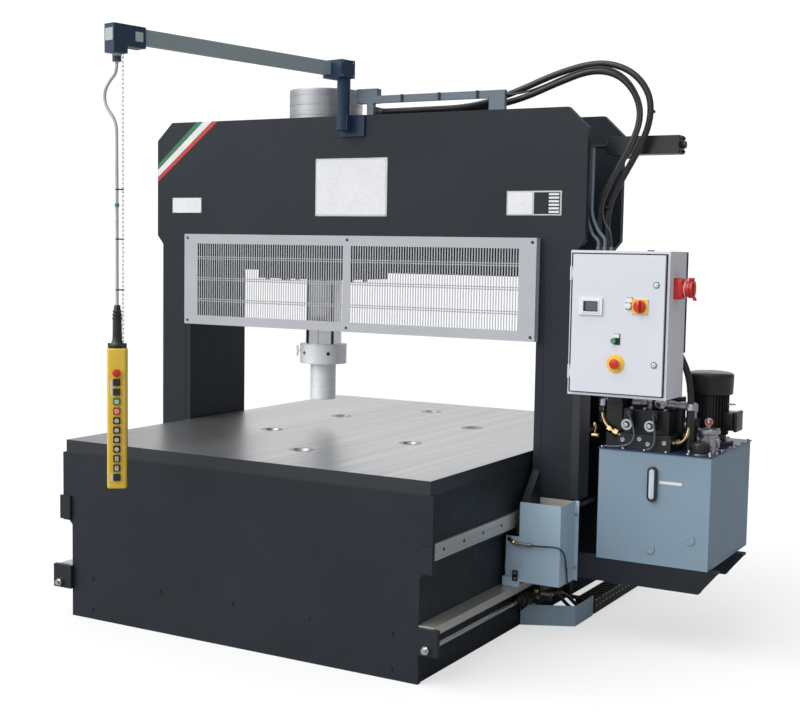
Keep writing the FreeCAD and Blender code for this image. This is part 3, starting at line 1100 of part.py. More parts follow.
# Two pressure hoses in one bundle: up from the bulkhead, over and down behind the cabinet.
OUTER_HOSE = [
    (123, -200, 2664), (400, -200, 2664), (680, -184, 2669), (900, -152, 2738), (1120, -120, 2830),
    (1330, -102, 2876), (1490, -98, 2830), (1588, -96, 2722), (1604, -96, 2596), (1560, -99, 2462),
    (1475, -106, 2310), (1408, -116, 2176), (1400, -130, 2050), (1430, -144, 1925),
    (1500, -152, 1800), (1610, -152, 1680), (1730, -150, 1560), (1820, -150, 1430),
    (1868, -150, 1300), (1868, -150, 1180),
]
INNER_HOSE = [
    (123, -164, 2660), (400, -164, 2660), (690, -148, 2662), (920, -140, 2700), (1120, -134, 2776),
    (1300, -128, 2834), (1440, -124, 2806), (1532, -122, 2710), (1562, -122, 2596),
    (1522, -124, 2470), (1440, -130, 2324), (1372, -138, 2188), (1362, -150, 2060),
    (1376, -158, 1930), (1396, -160, 1780), (1412, -156, 1590), (1422, -151, 1420),
    (1420, -150, 1290), (1420, -150, 1180),
]
# A thin signal cable that leaves the tray and joins the bundle down to the cabinet's top.
LOOP_CABLE = [
    (893, -253, 2716), (980, -253, 2716), (1090, -236, 2752), (1210, -200, 2808), (1330, -166, 2846),
    (1450, -150, 2822), (1540, -146, 2730), (1576, -146, 2610), (1550, -148, 2490),
    (1486, -152, 2370), (1420, -160, 2250), (1392, -174, 2150), (1420, -200, 2070),
    (1470, -230, 2030), (1470, -230, 1960),
]
# Conduits clipped to the leg, from the beam into the cabinet's top.
CONDUIT_LEFT = [
    (1340, -217, 2443), (1340, -217, 2240), (1332, -216, 2100), (1362, -212, 2020), (1395, -212, 1990),
    (1395, -212, 1960),
]
CONDUIT_RIGHT = [
    (1358, -217, 2443), (1358, -217, 2250), (1356, -217, 2120), (1390, -212, 2040), (1428, -212, 2000),
    (1428, -212, 1960),
]
# Pressure hoses from the right traverse cylinder back to the drag chain.
CHAIN_HOSE_UPPER = [
    (1216, -285, 200), (1216, -230, 200), (1222, -150, 190), (1230, -70, 152), (1240, 0, 100),
    (1248, 60, 60), (1250, 110, 52), (1250, 160, 52),
]
CHAIN_HOSE_LOWER = [
    (1190, -285, 196), (1190, -230, 196), (1194, -150, 176), (1200, -70, 130), (1206, 0, 80),
    (1212, 55, 52), (1214, 110, 46), (1214, 160, 46),
]
# Sensor lead on the right foot cover: across the front, then down its side.
SENSOR_LEAD = [
    (1190, -466, 488), (1225, -466, 488), (1262, -470, 492), (1304, -474, 497), (1339, -466, 493),
    (1351, -434, 462), (1347, -404, 420), (1344, -384, 370), (1344, -370, 320), (1342, -362, 292),
]


def free_hoses():
    """Each hose or cable that hangs or lies free."""
    node("loop_hose_outer", hose("outer_hose", "hose", OUTER_HOSE))
    node("loop_hose_inner", hose("inner_hose", "hose", INNER_HOSE))
    node("loop_cable", hose("loop_lead", "thin_cable", LOOP_CABLE))
    node("chain_hose_upper", hose("upper_chain_hose", "small_hose", CHAIN_HOSE_UPPER))
    node("chain_hose_lower", hose("lower_chain_hose", "small_hose", CHAIN_HOSE_LOWER))
    node("sensor_lead", hose("foot_sensor_lead", "sensor_cable", SENSOR_LEAD))
    node("pendant_cable", hose("hanging_cable", "pendant_cable", pendant_route()))


def pendant_route():
    """The pendant's cable: out of the gland, round one slack bow, then straight down."""
    turn = math.radians(size("arm_turn"))
    reach_x, reach_y = size("arm_shift"), size("hang_y")
    hang_x = size("pivot_x") + reach_x * math.cos(turn) - reach_y * math.sin(turn)
    hang_y = size("pivot_y") + reach_x * math.sin(turn) + reach_y * math.cos(turn)
    bow = [(0, 0), (0, -48), (-38, -80), (-68, -118), (-76, -163), (-60, -206), (-28, -240), (-5, -278),
           (0, -336)]
    points = [(hang_x + x, hang_y, size("gland_low") + z) for x, z in bow]
    return points + [(hang_x, hang_y, size("boot_top"))]


# ---------------------------------------------------------------- the whole press

work_table()
table_frame()
end_plates()
guide_rails()
end_fittings()
traverse_rods()
portal_plates()
portal_webs()
wheels()
traverse_barrels()
foot_covers()
ram_guard()
tank_beams()
tank()
motor()
power_pack()
cabinet()
cabinet_door()
door_controls()
power_inlet()
cable_ducts()
carriage_barrel()
drag_chain()
arm_bracket()
carriage()
ram()
pendant_arm()
pendant()
free_hoses()
doc.recompute()

failed = [item.Label for item in doc.Objects if "Invalid" in item.State or "Error" in item.State]
for part in NODES:
    if part.Shape.isNull() or not part.Shape.isValid():
        failed.append(part.Label)
if failed:
    raise RuntimeError("failed: " + ", ".join(failed))

os.makedirs("parts", exist_ok=True)
for part in NODES:
    part.Shape.exportStep(f"parts/{part.Label}.step")
print(len(NODES), "nodes")
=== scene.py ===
import math

import bmesh
import bpy
import numpy as np
from mathutils import Matrix, Vector


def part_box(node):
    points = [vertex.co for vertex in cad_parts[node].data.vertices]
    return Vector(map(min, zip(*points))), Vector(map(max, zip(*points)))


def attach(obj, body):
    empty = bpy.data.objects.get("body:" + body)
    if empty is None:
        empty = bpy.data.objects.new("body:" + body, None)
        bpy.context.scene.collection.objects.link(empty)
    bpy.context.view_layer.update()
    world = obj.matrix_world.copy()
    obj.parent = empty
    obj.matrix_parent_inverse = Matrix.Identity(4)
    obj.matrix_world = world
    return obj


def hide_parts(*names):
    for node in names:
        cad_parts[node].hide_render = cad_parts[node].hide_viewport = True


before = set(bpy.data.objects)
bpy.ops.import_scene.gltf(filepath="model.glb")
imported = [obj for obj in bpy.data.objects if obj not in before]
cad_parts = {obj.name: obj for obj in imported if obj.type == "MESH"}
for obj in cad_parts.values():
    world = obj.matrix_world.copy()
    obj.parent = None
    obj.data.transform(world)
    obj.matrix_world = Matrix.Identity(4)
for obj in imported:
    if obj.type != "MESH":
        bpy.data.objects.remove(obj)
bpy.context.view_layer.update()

# Camera, light and floor. A white studio with one wide soft key from the front left, a panel
# behind the press, a dim surround that is brighter on the left than on the right, and a plain
# pale floor. The camera sees the floor lifted toward white, while the press is lit by a dim one.

CAMERA_PLACE = (3.7383, -6.3089, 1.9308)
CAMERA_YAW, CAMERA_PITCH, CAMERA_ROLL = np.radians((29.5346, 4.9211, -0.9758))
CAMERA_LENS, CAMERA_REACH = 58.85, 200
KEY_FROM, KEY_STRENGTH, KEY_SPREAD = Vector((-0.50, -0.62, 0.72)), 2.55, math.radians(70)
BACK_PANEL_PLACE, BACK_PANEL_AIM = Vector((-1.5, 6.0, 3.4)), Vector((0, 0, 0.9))
BACK_PANEL_SIZE, BACK_PANEL_POWER = (9.0, 3.2), 70
BRIGHT_SIDE, SURROUND_LOW, SURROUND_HIGH, BACKDROP_STRENGTH = (-0.62, -0.45, 0.64), 0.12, 0.85, 1.05
FLOOR_HALF, FLOOR_LIFT = 90.0, 0.62


def node_of(tree, kind, **values):
    """A new shader node with its inputs set by name, an underscore standing for a space."""
    node = tree.nodes.new(f"ShaderNode{kind}")
    for name, value in values.items():
        node.inputs[name.replace("_", " ")].default_value = value
    return node


ahead = np.array((-math.sin(CAMERA_YAW) * math.cos(CAMERA_PITCH),
                  math.cos(CAMERA_YAW) * math.cos(CAMERA_PITCH), -math.sin(CAMERA_PITCH)))
level = np.array((math.cos(CAMERA_YAW), math.sin(CAMERA_YAW), 0.0))
below = np.cross(ahead, level)
right = math.cos(CAMERA_ROLL) * level + math.sin(CAMERA_ROLL) * below
down = math.cos(CAMERA_ROLL) * below - math.sin(CAMERA_ROLL) * level
camera = bpy.data.objects.new("camera", bpy.data.cameras.new("camera"))
camera.data.lens = CAMERA_LENS
camera.data.clip_end = CAMERA_REACH
turn = Matrix(np.column_stack((right, -down, -ahead)).tolist()).to_4x4()
camera.matrix_world = Matrix.Translation(CAMERA_PLACE) @ turn
bpy.context.scene.collection.objects.link(camera)
bpy.context.scene.camera = camera
bpy.context.scene.view_settings.view_transform = "Standard"

key = bpy.data.objects.new("key_light", bpy.data.lights.new("key_light", "SUN"))
key.data.energy = KEY_STRENGTH
key.data.angle = KEY_SPREAD
key.rotation_euler = KEY_FROM.to_track_quat("Z", "Y").to_euler()
bpy.context.scene.collection.objects.link(key)
panel = bpy.data.objects.new("back_panel", bpy.data.lights.new("back_panel", "AREA"))
panel.data.shape = "RECTANGLE"
panel.data.size, panel.data.size_y = BACK_PANEL_SIZE
panel.data.energy = BACK_PANEL_POWER
panel.location = BACK_PANEL_PLACE
panel.rotation_euler = (BACK_PANEL_PLACE - BACK_PANEL_AIM).to_track_quat("Z", "Y").to_euler()
bpy.context.scene.collection.objects.link(panel)

world = bpy.data.worlds.new("white_studio")
bpy.context.scene.world = world
world.use_nodes = True
sky = world.node_tree
surround = sky.nodes["Background"]
backdrop = node_of(sky, "Background", Color=(1, 1, 1, 1), Strength=BACKDROP_STRENGTH)
toward = node_of(sky, "TexCoord")
facing = node_of(sky, "VectorMath")
facing.operation = "DOT_PRODUCT"
facing.inputs[1].default_value = BRIGHT_SIDE
dimmer = node_of(sky, "MapRange", From_Min=-0.9, From_Max=0.9, To_Min=SURROUND_LOW, To_Max=SURROUND_HIGH)
seen = node_of(sky, "LightPath")
either = node_of(sky, "MixShader")
sky.links.new(toward.outputs["Generated"], facing.inputs[0])
sky.links.new(facing.outputs["Value"], dimmer.inputs["Value"])
sky.links.new(dimmer.outputs["Result"], surround.inputs["Strength"])
surround.inputs["Color"].default_value = (0.98, 0.99, 1.0, 1)
sky.links.new(seen.outputs["Is Camera Ray"], either.inputs["Fac"])
sky.links.new(surround.outputs["Background"], either.inputs[1])
sky.links.new(backdrop.outputs["Background"], either.inputs[2])
sky.links.new(either.outputs["Shader"], sky.nodes["World Output"].inputs["Surface"])

floor_mesh = bpy.data.meshes.new("floor")
floor_mesh.from_pydata([(-FLOOR_HALF, -FLOOR_HALF, 0), (FLOOR_HALF, -FLOOR_HALF, 0),
                        (FLOOR_HALF, FLOOR_HALF, 0), (-FLOOR_HALF, FLOOR_HALF, 0)], [], [(0, 1, 2, 3)])
floor = bpy.data.objects.new("floor", floor_mesh)
bpy.context.scene.collection.objects.link(floor)
floor_paint = bpy.data.materials.new("floor_paint")
floor_paint.use_nodes = True
paper = floor_paint.node_tree
white_paper = node_of(paper, "BsdfDiffuse", Color=(0.94, 0.94, 0.94, 1))
dim_paper = node_of(paper, "BsdfDiffuse", Color=(0.42, 0.42, 0.43, 1))
glow = node_of(paper, "Emission")
lifted, shown = node_of(paper, "MixShader", Fac=FLOOR_LIFT), node_of(paper, "MixShader")
paper.links.new(white_paper.outputs["BSDF"], lifted.inputs[1])
paper.links.new(glow.outputs["Emission"], lifted.inputs[2])
paper.links.new(node_of(paper, "LightPath").outputs["Is Camera Ray"], shown.inputs["Fac"])
paper.links.new(dim_paper.outputs["BSDF"], shown.inputs[1])
paper.links.new(lifted.outputs["Shader"], shown.inputs[2])
paper.links.new(shown.outputs["Shader"], paper.nodes["Material Output"].inputs["Surface"])
floor_mesh.materials.append(floor_paint)

# Hoses and cables. Black rubber hoses and sheathed cables, each one bent round its own soft
# curve between its fittings: two pressure hoses from the beam to the power pack, a cable from
# the beam to the cabinet, two small hoses into the drag chain, the foot sensor's lead and the
# pendant's cable.

NOISE_LOW, NOISE_HIGH = 0.32, 0.68
FLAT_DOT, EDGE_DOT = 0.995, 0.80


def tree_of(name):
    """A new material's node tree, its shader and the piece's own coordinates."""
    finish = bpy.data.materials.new(name)
    finish.use_nodes = True
    tree = finish.node_tree
    place = node_of(tree, "TexCoord").outputs["Object"]
    return finish, tree, tree.nodes["Principled BSDF"], place


def cloud(tree, place, stretch, low, high, detail=3.0):
    """Noise stretched by its three scales (spots a metre) and spread from low to high."""
    scale = node_of(tree, "Mapping", Scale=stretch)
    noise = node_of(tree, "TexNoise", Scale=1.0, Detail=detail)
    spread = node_of(tree, "MapRange", From_Min=NOISE_LOW, From_Max=NOISE_HIGH, To_Min=low, To_Max=high)
    tree.links.new(place, scale.inputs["Vector"])
    tree.links.new(scale.outputs["Vector"], noise.inputs["Vector"])
    tree.links.new(noise.outputs["Fac"], spread.inputs["Value"])
    return spread.outputs["Result"]


def mixed(tree, amount, first, second):
    """Colour between first and second; either is a colour or another node's output."""
    mix = node_of(tree, "Mix")
    mix.data_type = "RGBA"
    tree.links.new(amount, mix.inputs["Factor"])
    for socket, colour in ((mix.inputs["A"], first), (mix.inputs["B"], second)):
        if isinstance(colour, tuple):
            socket.default_value = (*colour, 1)
        else:
            tree.links.new(colour, socket)
    return mix.outputs["Result"]


def arithmetic(tree, kind, first, second):
    """One operation on two numbers; either is a number or another node's output."""
    result = node_of(tree, "Math")
    result.operation = kind
    for socket, value in zip(result.inputs, (first, second)):
        if isinstance(value, (int, float)):
            socket.default_value = value
        else:
            tree.links.new(value, socket)
    return result.outputs[0]


def rounded_edges(tree, radius):
    """The normal eased round each edge, and a mask that is one on the edge and zero off it."""
    ease = node_of(tree, "Bevel", Radius=radius)
    ease.samples = 4
    true = node_of(tree, "NewGeometry")
    dot = node_of(tree, "VectorMath")
    dot.operation = "DOT_PRODUCT"
    tree.links.new(ease.outputs["Normal"], dot.inputs[0])
    tree.links.new(true.outputs["Normal"], dot.inputs[1])
    mask = node_of(tree, "MapRange", From_Min=FLAT_DOT, From_Max=EDGE_DOT)
    tree.links.new(dot.outputs["Value"], mask.inputs["Value"])
    return ease.outputs["Normal"], mask.outputs["Result"]


def relief(tree, shader, height, depth, normal=None):
    """Bump of a given depth in metres into the shader, over an eased normal where there is one."""
    bump = node_of(tree, "Bump", Distance=depth)
    tree.links.new(height, bump.inputs["Height"])
    if normal is not None:
        tree.links.new(normal, bump.inputs["Normal"])
    tree.links.new(bump.outputs["Normal"], shader.inputs["Normal"])


def moulded(name, colour, shade, rough, grain=900.0, depth=0.00008, specular=0.5):
    """Rubber or plastic: two near shades in soft clouds, and a fine moulded grain."""
    finish, tree, shader, place = tree_of(name)
    blotch = cloud(tree, place, (14, 14, 14), 0.0, 1.0)
    tree.links.new(mixed(tree, blotch, colour, shade), shader.inputs["Base Color"])
    tree.links.new(cloud(tree, place, (40, 40, 40), rough - 0.06, rough + 0.08), shader.inputs["Roughness"])
    normal = rounded_edges(tree, 0.0012)[0]
    relief(tree, shader, cloud(tree, place, (grain, grain, grain), 0.0, 1.0, 2.0), depth, normal)
    shader.inputs["Specular IOR Level"].default_value = specular
    return finish


def flexible(name, node, body, points, thick, finish):
    """A cord along one smooth spline whose control points are the route's points."""
    curve = bpy.data.curves.new(name, "CURVE")
    curve.dimensions = "3D"
    line = curve.splines.new("NURBS")
    line.points.add(len(points) - 1)
    line.points.foreach_set("co", np.column_stack((points, np.ones(len(points)))).ravel())
    line.order_u = 3
    line.use_endpoint_u = True
    line.resolution_u = 8
    curve.bevel_depth = thick / 2
    curve.bevel_resolution = 5
    curve.use_fill_caps = True
    curve.materials.append(finish)
    cord = bpy.data.objects.new(name, curve)
    bpy.context.scene.collection.objects.link(cord)
    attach(cord, body)
    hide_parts(node)


hose_rubber = moulded("hose_rubber", (0.012, 0.013, 0.015), (0.022, 0.023, 0.026), 0.36)
cable_sheath = moulded("cable_sheath", (0.42, 0.44, 0.46), (0.52, 0.53, 0.55), 0.38)

OUTER_HOSE = [(0.123, -0.200, 2.664), (0.400, -0.200, 2.664), (0.680, -0.184, 2.669), (0.900, -0.152, 2.738),
              (1.120, -0.120, 2.830), (1.330, -0.102, 2.876), (1.490, -0.098, 2.830), (1.588, -0.096, 2.722),
              (1.604, -0.096, 2.596), (1.560, -0.099, 2.462), (1.475, -0.106, 2.310), (1.408, -0.116, 2.176),
              (1.400, -0.130, 2.050), (1.430, -0.144, 1.925), (1.500, -0.152, 1.800), (1.610, -0.152, 1.680),
              (1.730, -0.150, 1.560), (1.820, -0.150, 1.430), (1.868, -0.150, 1.300), (1.868, -0.150, 1.180)]
INNER_HOSE = [(0.123, -0.164, 2.660), (0.400, -0.164, 2.660), (0.690, -0.148, 2.662), (0.920, -0.140, 2.700),
              (1.120, -0.134, 2.776), (1.300, -0.128, 2.834), (1.440, -0.124, 2.806), (1.532, -0.122, 2.710),
              (1.562, -0.122, 2.596), (1.522, -0.124, 2.470), (1.440, -0.130, 2.324), (1.372, -0.138, 2.188),
              (1.362, -0.150, 2.060), (1.376, -0.158, 1.930), (1.396, -0.160, 1.780), (1.412, -0.156, 1.590),
              (1.422, -0.151, 1.420), (1.420, -0.150, 1.290), (1.420, -0.150, 1.180)]
LOOP_CABLE = [(0.893, -0.253, 2.716), (0.980, -0.253, 2.716), (1.090, -0.236, 2.752), (1.210, -0.200, 2.808),
              (1.330, -0.166, 2.846), (1.450, -0.150, 2.822), (1.540, -0.146, 2.730), (1.576, -0.146, 2.610),
              (1.550, -0.148, 2.490), (1.486, -0.152, 2.370), (1.420, -0.160, 2.250), (1.392, -0.174, 2.150),
              (1.420, -0.200, 2.070), (1.470, -0.230, 2.030), (1.470, -0.230, 1.960)]
CHAIN_HOSE_UPPER = [(1.216, -0.285, 0.200), (1.216, -0.230, 0.200), (1.222, -0.150, 0.190),
                    (1.230, -0.070, 0.152), (1.240, 0.000, 0.100), (1.248, 0.060, 0.060),
                    (1.250, 0.110, 0.052), (1.250, 0.160, 0.052)]
CHAIN_HOSE_LOWER = [(1.190, -0.285, 0.196), (1.190, -0.230, 0.196), (1.194, -0.150, 0.176),
                    (1.200, -0.070, 0.130), (1.206, 0.000, 0.080), (1.212, 0.055, 0.052),
                    (1.214, 0.110, 0.046), (1.214, 0.160, 0.046)]
SENSOR_LEAD = [(1.190, -0.466, 0.488), (1.225, -0.466, 0.488), (1.262, -0.470, 0.492), (1.304, -0.474, 0.497),
               (1.339, -0.466, 0.493), (1.351, -0.434, 0.462), (1.347, -0.404, 0.420), (1.344, -0.384, 0.370),
               (1.344, -0.370, 0.320), (1.342, -0.362, 0.292)]
ARM_PIVOT, ARM_TURN, ARM_SHIFT = (-0.033, -0.311), math.radians(-11.5), -0.063
HANG_REACH, CABLE_OUTLET, BOOT_TOP = -1.430, 2.760, 1.653
HANG = (ARM_PIVOT[0] + ARM_SHIFT * math.cos(ARM_TURN) - HANG_REACH * math.sin(ARM_TURN),
        ARM_PIVOT[1] + ARM_SHIFT * math.sin(ARM_TURN) + HANG_REACH * math.cos(ARM_TURN))
PENDANT_SWAY = [(0, 0), (0, -0.048), (-0.038, -0.080), (-0.068, -0.118), (-0.076, -0.163), (-0.060, -0.206),
                (-0.028, -0.240), (-0.005, -0.278), (0, -0.336), (0, BOOT_TOP - CABLE_OUTLET)]
PENDANT_CABLE = [(HANG[0] + x, HANG[1], CABLE_OUTLET + z) for x, z in PENDANT_SWAY]

for name, node, body, points, thick, length, finish in (
        ("outer_hose", "loop_hose_outer", "portal", OUTER_HOSE, 0.032, 3.28, hose_rubber),
        ("inner_hose", "loop_hose_inner", "portal", INNER_HOSE, 0.032, 3.05, hose_rubber),
        ("loop_lead", "loop_cable", "portal", LOOP_CABLE, 0.010, 1.56, hose_rubber),
        ("chain_hose_a", "chain_hose_upper", "portal", CHAIN_HOSE_UPPER, 0.018, 0.484, hose_rubber),
        ("chain_hose_b", "chain_hose_lower", "portal", CHAIN_HOSE_LOWER, 0.018, 0.482, hose_rubber),
        ("foot_lead", "sensor_lead", "portal", SENSOR_LEAD, 0.008, 0.379, hose_rubber),
        ("pendant_lead", "pendant_cable", "arm", PENDANT_CABLE, 0.015, 1.15, cable_sheath)):
    flexible(name, node, body, points, thick, finish)

# Work table. A thick steel plate planed flat along its length, its rim painted with the frame,
# with six countersunk holes for clamps and fixtures, and round each a dark steel ring that paints
# the polished countersink's dark reflection.

FRONT, RIGHT, DOWN = (0, -1, 0), (1, 0, 0), (0, 0, -1)


def give(finish, *nodes):
    """A finish for CAD nodes, in each of their material slots."""
    for node in nodes:
        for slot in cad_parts[node].material_slots:
            slot.material = finish


def planed(name, colour, shade, rough, stretch, line_depth=0.00003, ease=0.001, metal=1.0):
    """Bare machined steel: cutter marks stretched one way, over broad lighter and darker tracks."""
    finish, tree, shader, place = tree_of(name)
    fine = cloud(tree, place, stretch, 0.0, 1.0, 4.0)
    broad = cloud(tree, place, tuple(s / 14 for s in stretch), 0.0, 1.0, 2.0)
    both = arithmetic(tree, "ADD", arithmetic(tree, "MULTIPLY", fine, 0.55),
                      arithmetic(tree, "MULTIPLY", broad, 0.45))
    tree.links.new(mixed(tree, both, colour, shade), shader.inputs["Base Color"])
    rough_low = arithmetic(tree, "MULTIPLY", both, 0.16)
    tree.links.new(arithmetic(tree, "ADD", rough_low, rough), shader.inputs["Roughness"])
    shader.inputs["Metallic"].default_value = metal
    normal = rounded_edges(tree, ease)[0]
    relief(tree, shader, fine, line_depth, normal)
    return finish


def painted_where(finish, mask, colour, rough):
    """Paint over a finish where a mask is one: its colour, its roughness and no metal."""
    tree = finish.node_tree
    shader = tree.nodes["Principled BSDF"]
    under = shader.inputs["Base Color"].links[0].from_socket
    tree.links.new(mixed(tree, mask, under, colour), shader.inputs["Base Color"])
    for name, value in (("Roughness", rough), ("Metallic", 0.0)):
        socket = shader.inputs[name]
        bare = socket.links[0].from_socket if socket.links else socket.default_value
        if not socket.links and bare == value:
            continue
        keep = arithmetic(tree, "MULTIPLY", arithmetic(tree, "SUBTRACT", 1.0, mask), bare)
        tree.links.new(arithmetic(tree, "ADD", keep, arithmetic(tree, "MULTIPLY", mask, value)), socket)


def part_of(tree, vector, direction, low, high):
    """One where a vector's reach along a direction lies between low and high, else zero."""
    reach = node_of(tree, "VectorMath")
    reach.operation = "DOT_PRODUCT"
    reach.inputs[1].default_value = direction
    tree.links.new(vector, reach.inputs[0])
    over = arithmetic(tree, "GREATER_THAN", reach.outputs["Value"], low)
    return arithmetic(tree, "MULTIPLY", over, arithmetic(tree, "LESS_THAN", reach.outputs["Value"], high))


FRAME_PAINT, FRAME_PATCH = (0.0175, 0.0215, 0.0275), (0.021, 0.0255, 0.032)
planed_top = planed("planed_top", (0.50, 0.50, 0.505), (0.37, 0.37, 0.375), 0.27, (620, 1.6, 620))
facing_out = node_of(planed_top.node_tree, "NewGeometry").outputs["Normal"]
painted_where(planed_top, part_of(planed_top.node_tree, facing_out, (0, 0, 1), -1.1, 0.4), FRAME_PAINT, 0.42)
give(planed_top, "table_top")


def skin(grid):
    """Corners and quads of a grid of points whose rows each close on themselves."""
    rows, steps = grid.shape[:2]
    index = np.arange(rows * steps).reshape(rows, steps)
    after = np.roll(index, -1, axis=1)
    quads = np.stack((index[:-1], after[:-1], after[1:], index[1:]), axis=-1)
    return grid.reshape(-1, 3), quads.reshape(-1, 4)


def turned(profile, steps=24):
    """A profile of radii and heights turned about Z: x = r cos t, y = r sin t, z = height."""
    radius, height = np.array(profile, float).T
    t = np.linspace(0, 2 * math.pi, steps, endpoint=False)
    level = np.repeat(height[:, None], steps, axis=1)
    return skin(np.stack((radius[:, None] * np.cos(t), radius[:, None] * np.sin(t), level), axis=-1))


def disc(radius, rim, middle, steps):
    """A round plate or pin on XY from z = 0, its top at one height at the rim, another in the middle."""
    return turned([(0, 0), (radius, 0), (radius, rim), (0, middle)], steps)


def capped(radius, shoulder, top_radius, height, steps):
    """A round body on XY from z = 0, narrowing above its shoulder to a flat top."""
    return turned([(0, 0), (radius, 0), (radius, shoulder), (top_radius, height), (0, height)], steps)


def sleeve(inner, outer, bottom, top, steps):
    """A short tube about Z with square rims."""
    return turned([(inner, bottom), (outer, bottom), (outer, top), (inner, top), (inner, bottom)], steps)


def on_circle(middle, radius, turn, level):
    """A place on a level circle round a middle."""
    return middle[0] + radius * math.cos(turn), middle[1] + radius * math.sin(turn), level


def put(shape, at, toward=(0, 0, 1), up=None):
    """A shape moved to a place, its Z turned to look toward a direction and its Y kept upward."""
    corners, quads = shape
    z = np.array(toward, float) / np.linalg.norm(toward)
    if up is None:
        up = (0, 1, 0) if abs(z[2]) > 0.9 else (0, 0, 1)
    x = np.cross(up, z)
    x /= np.linalg.norm(x)
    return corners @ np.array((x, np.cross(z, x), z)) + np.array(at), quads


def piece(name, body, finish, slot, *shapes, smooth=38):
    """One object made of closed shapes, its doubles merged, riding on a body."""
    corners, quads, count = [], [], 0
    for points, faces in shapes:
        corners.append(points)
        quads.append(faces + count)
        count += len(points)
    mesh = bpy.data.meshes.new(name)
    mesh.from_pydata(np.concatenate(corners).tolist(), [], np.concatenate(quads).tolist())
    cleaner = bmesh.new()
    cleaner.from_mesh(mesh)
    bmesh.ops.remove_doubles(cleaner, verts=cleaner.verts, dist=2e-6)
    bmesh.ops.recalc_face_normals(cleaner, faces=cleaner.faces)
    cleaner.to_mesh(mesh)
    cleaner.free()
    mesh.polygons.foreach_set("use_smooth", np.ones(len(mesh.polygons), bool))
    mesh.set_sharp_from_angle(angle=math.radians(smooth))
    mesh.materials.append(finish)
    made = bpy.data.objects.new(name, mesh)
    bpy.context.scene.collection.objects.link(made)
    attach(made, body)
    return made


# A dark ring round each countersink: painted reflection of the polished cone.
sink_reflection_steel = planed("sink_reflection_steel", (0.10, 0.10, 0.105), (0.05, 0.05, 0.052), 0.12, (200, 200, 200))
TABLE_HOLES = ((0.440, 0.365), (0.440, -0.365), (-0.440, 0.365), (-0.440, -0.365), (0.105, -0.885),
               (-0.105, 0.885))
TABLE_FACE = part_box("table_top")[1][2]
SINK_EDGE, RING_WIDTH, RING_PROUD = 0.0504, 0.0135, 0.0004
RING_EDGE = SINK_EDGE + RING_WIDTH
sink_profile = [(SINK_EDGE, -RING_PROUD), (RING_EDGE, -RING_PROUD), (RING_EDGE, RING_PROUD / 2),
                (RING_EDGE - RING_PROUD, RING_PROUD), (SINK_EDGE + RING_PROUD, RING_PROUD),
                (SINK_EDGE, RING_PROUD / 2), (SINK_EDGE, -RING_PROUD)]
piece("sink_reflection_rings", "table", sink_reflection_steel, "machined_steel",
      *[put(turned(sink_profile, 40), (x, y, TABLE_FACE)) for x, y in TABLE_HOLES])

# Table frame. A channel and ribs welded from plate, closed at both ends by bolted end plates,
# all sprayed blue-grey over the welds.


def sprayed(name, colour, patch, worn, rough, ease=0.0015, peel=0.00004, wear=0.5, specular=0.5):
    """Sprayed paint: soft patches of a second shade, orange peel, and edges rubbed paler."""
    finish, tree, shader, place = tree_of(name)
    base = mixed(tree, cloud(tree, place, (2.6, 2.6, 2.6), 0.0, 1.0), colour, patch)
    normal, edge = rounded_edges(tree, ease)
    rubbed = arithmetic(tree, "MULTIPLY", edge, cloud(tree, place, (45, 45, 45), 0.0, wear))
    tree.links.new(mixed(tree, rubbed, base, worn), shader.inputs["Base Color"])
    tree.links.new(cloud(tree, place, (18, 18, 18), rough - 0.05, rough + 0.07), shader.inputs["Roughness"])
    relief(tree, shader, cloud(tree, place, (260, 260, 260), 0.0, 1.0, 2.0), peel, normal)
    shader.inputs["Specular IOR Level"].default_value = specular
    return finish


def bead(start, end, width, pitch=0.011):
    """A weld bead: a round bar from start to end whose radius swells a little at each ripple."""
    start, end = np.array(start, float), np.array(end, float)
    long = np.linalg.norm(end - start)
    along = np.linspace(0, long, int(long / pitch) * 3 + 2)
    swell = width / 2 * (1 + 0.14 * np.sin(2 * math.pi * along / pitch))
    profile = np.column_stack((np.concatenate(([0], swell, [0])), np.concatenate(([0], along, [long]))))
    return put(turned(profile, 8), start, end - start)


blue_grey = sprayed("blue_grey", FRAME_PAINT, FRAME_PATCH, (0.13, 0.14, 0.15), 0.46, specular=0.22)
give(blue_grey, "table_frame", "table_end_plates", "end_fittings")
FLANGE_ROOT_X, FLANGE_ROOT_Z = 1.0205, 0.5442
piece("frame_welds", "table", blue_grey, "dark_paint",
      *[bead((side * FLANGE_ROOT_X, start, FLANGE_ROOT_Z), (side * FLANGE_ROOT_X, stop, FLANGE_ROOT_Z), 0.008)
        for side in (1, -1) for start, stop in ((-1.29, -0.45), (0.45, 1.29))], smooth=80)

# Guide rails and traverse rods. Ground flat rails bolted to the frame's sides, and bright piston
# rods held in brackets on the end plates by nuts.


def slab(wide, high, thick, corner=0.0, edge=0.0006, steps=4, rounds=1):
    """A plate on XY from z = 0: its corners lie on arcs, and both its rims on arcs of the edge's size."""
    corner = max(corner, edge * 1.2)
    t = (np.arange(4)[:, None] * math.pi / 2 + np.linspace(0, math.pi / 2, steps + 1)).ravel()
    sign = np.repeat(np.array([(1, 1), (-1, 1), (-1, -1), (1, -1)]), steps + 1, axis=0)
    middle = sign * np.array((wide / 2 - corner, high / 2 - corner))
    arc = np.column_stack((np.cos(t), np.sin(t)))
    turn = np.linspace(0, math.pi / 2, rounds + 1)
    inset, level = edge * (1 - np.sin(turn)), edge * (1 - np.cos(turn))
    inset, level = np.concatenate((inset, inset[::-1])), np.concatenate((level, thick - level[::-1]))
    ring = middle + arc * (corner - inset)[:, None, None]
    rings = np.dstack((ring[..., 0], ring[..., 1], np.repeat(level[:, None], len(t), axis=1)))
    ends = np.zeros((2, len(t), 3))
    ends[1, :, 2] = thick
    return skin(np.concatenate((ends[:1], rings, ends[1:])))


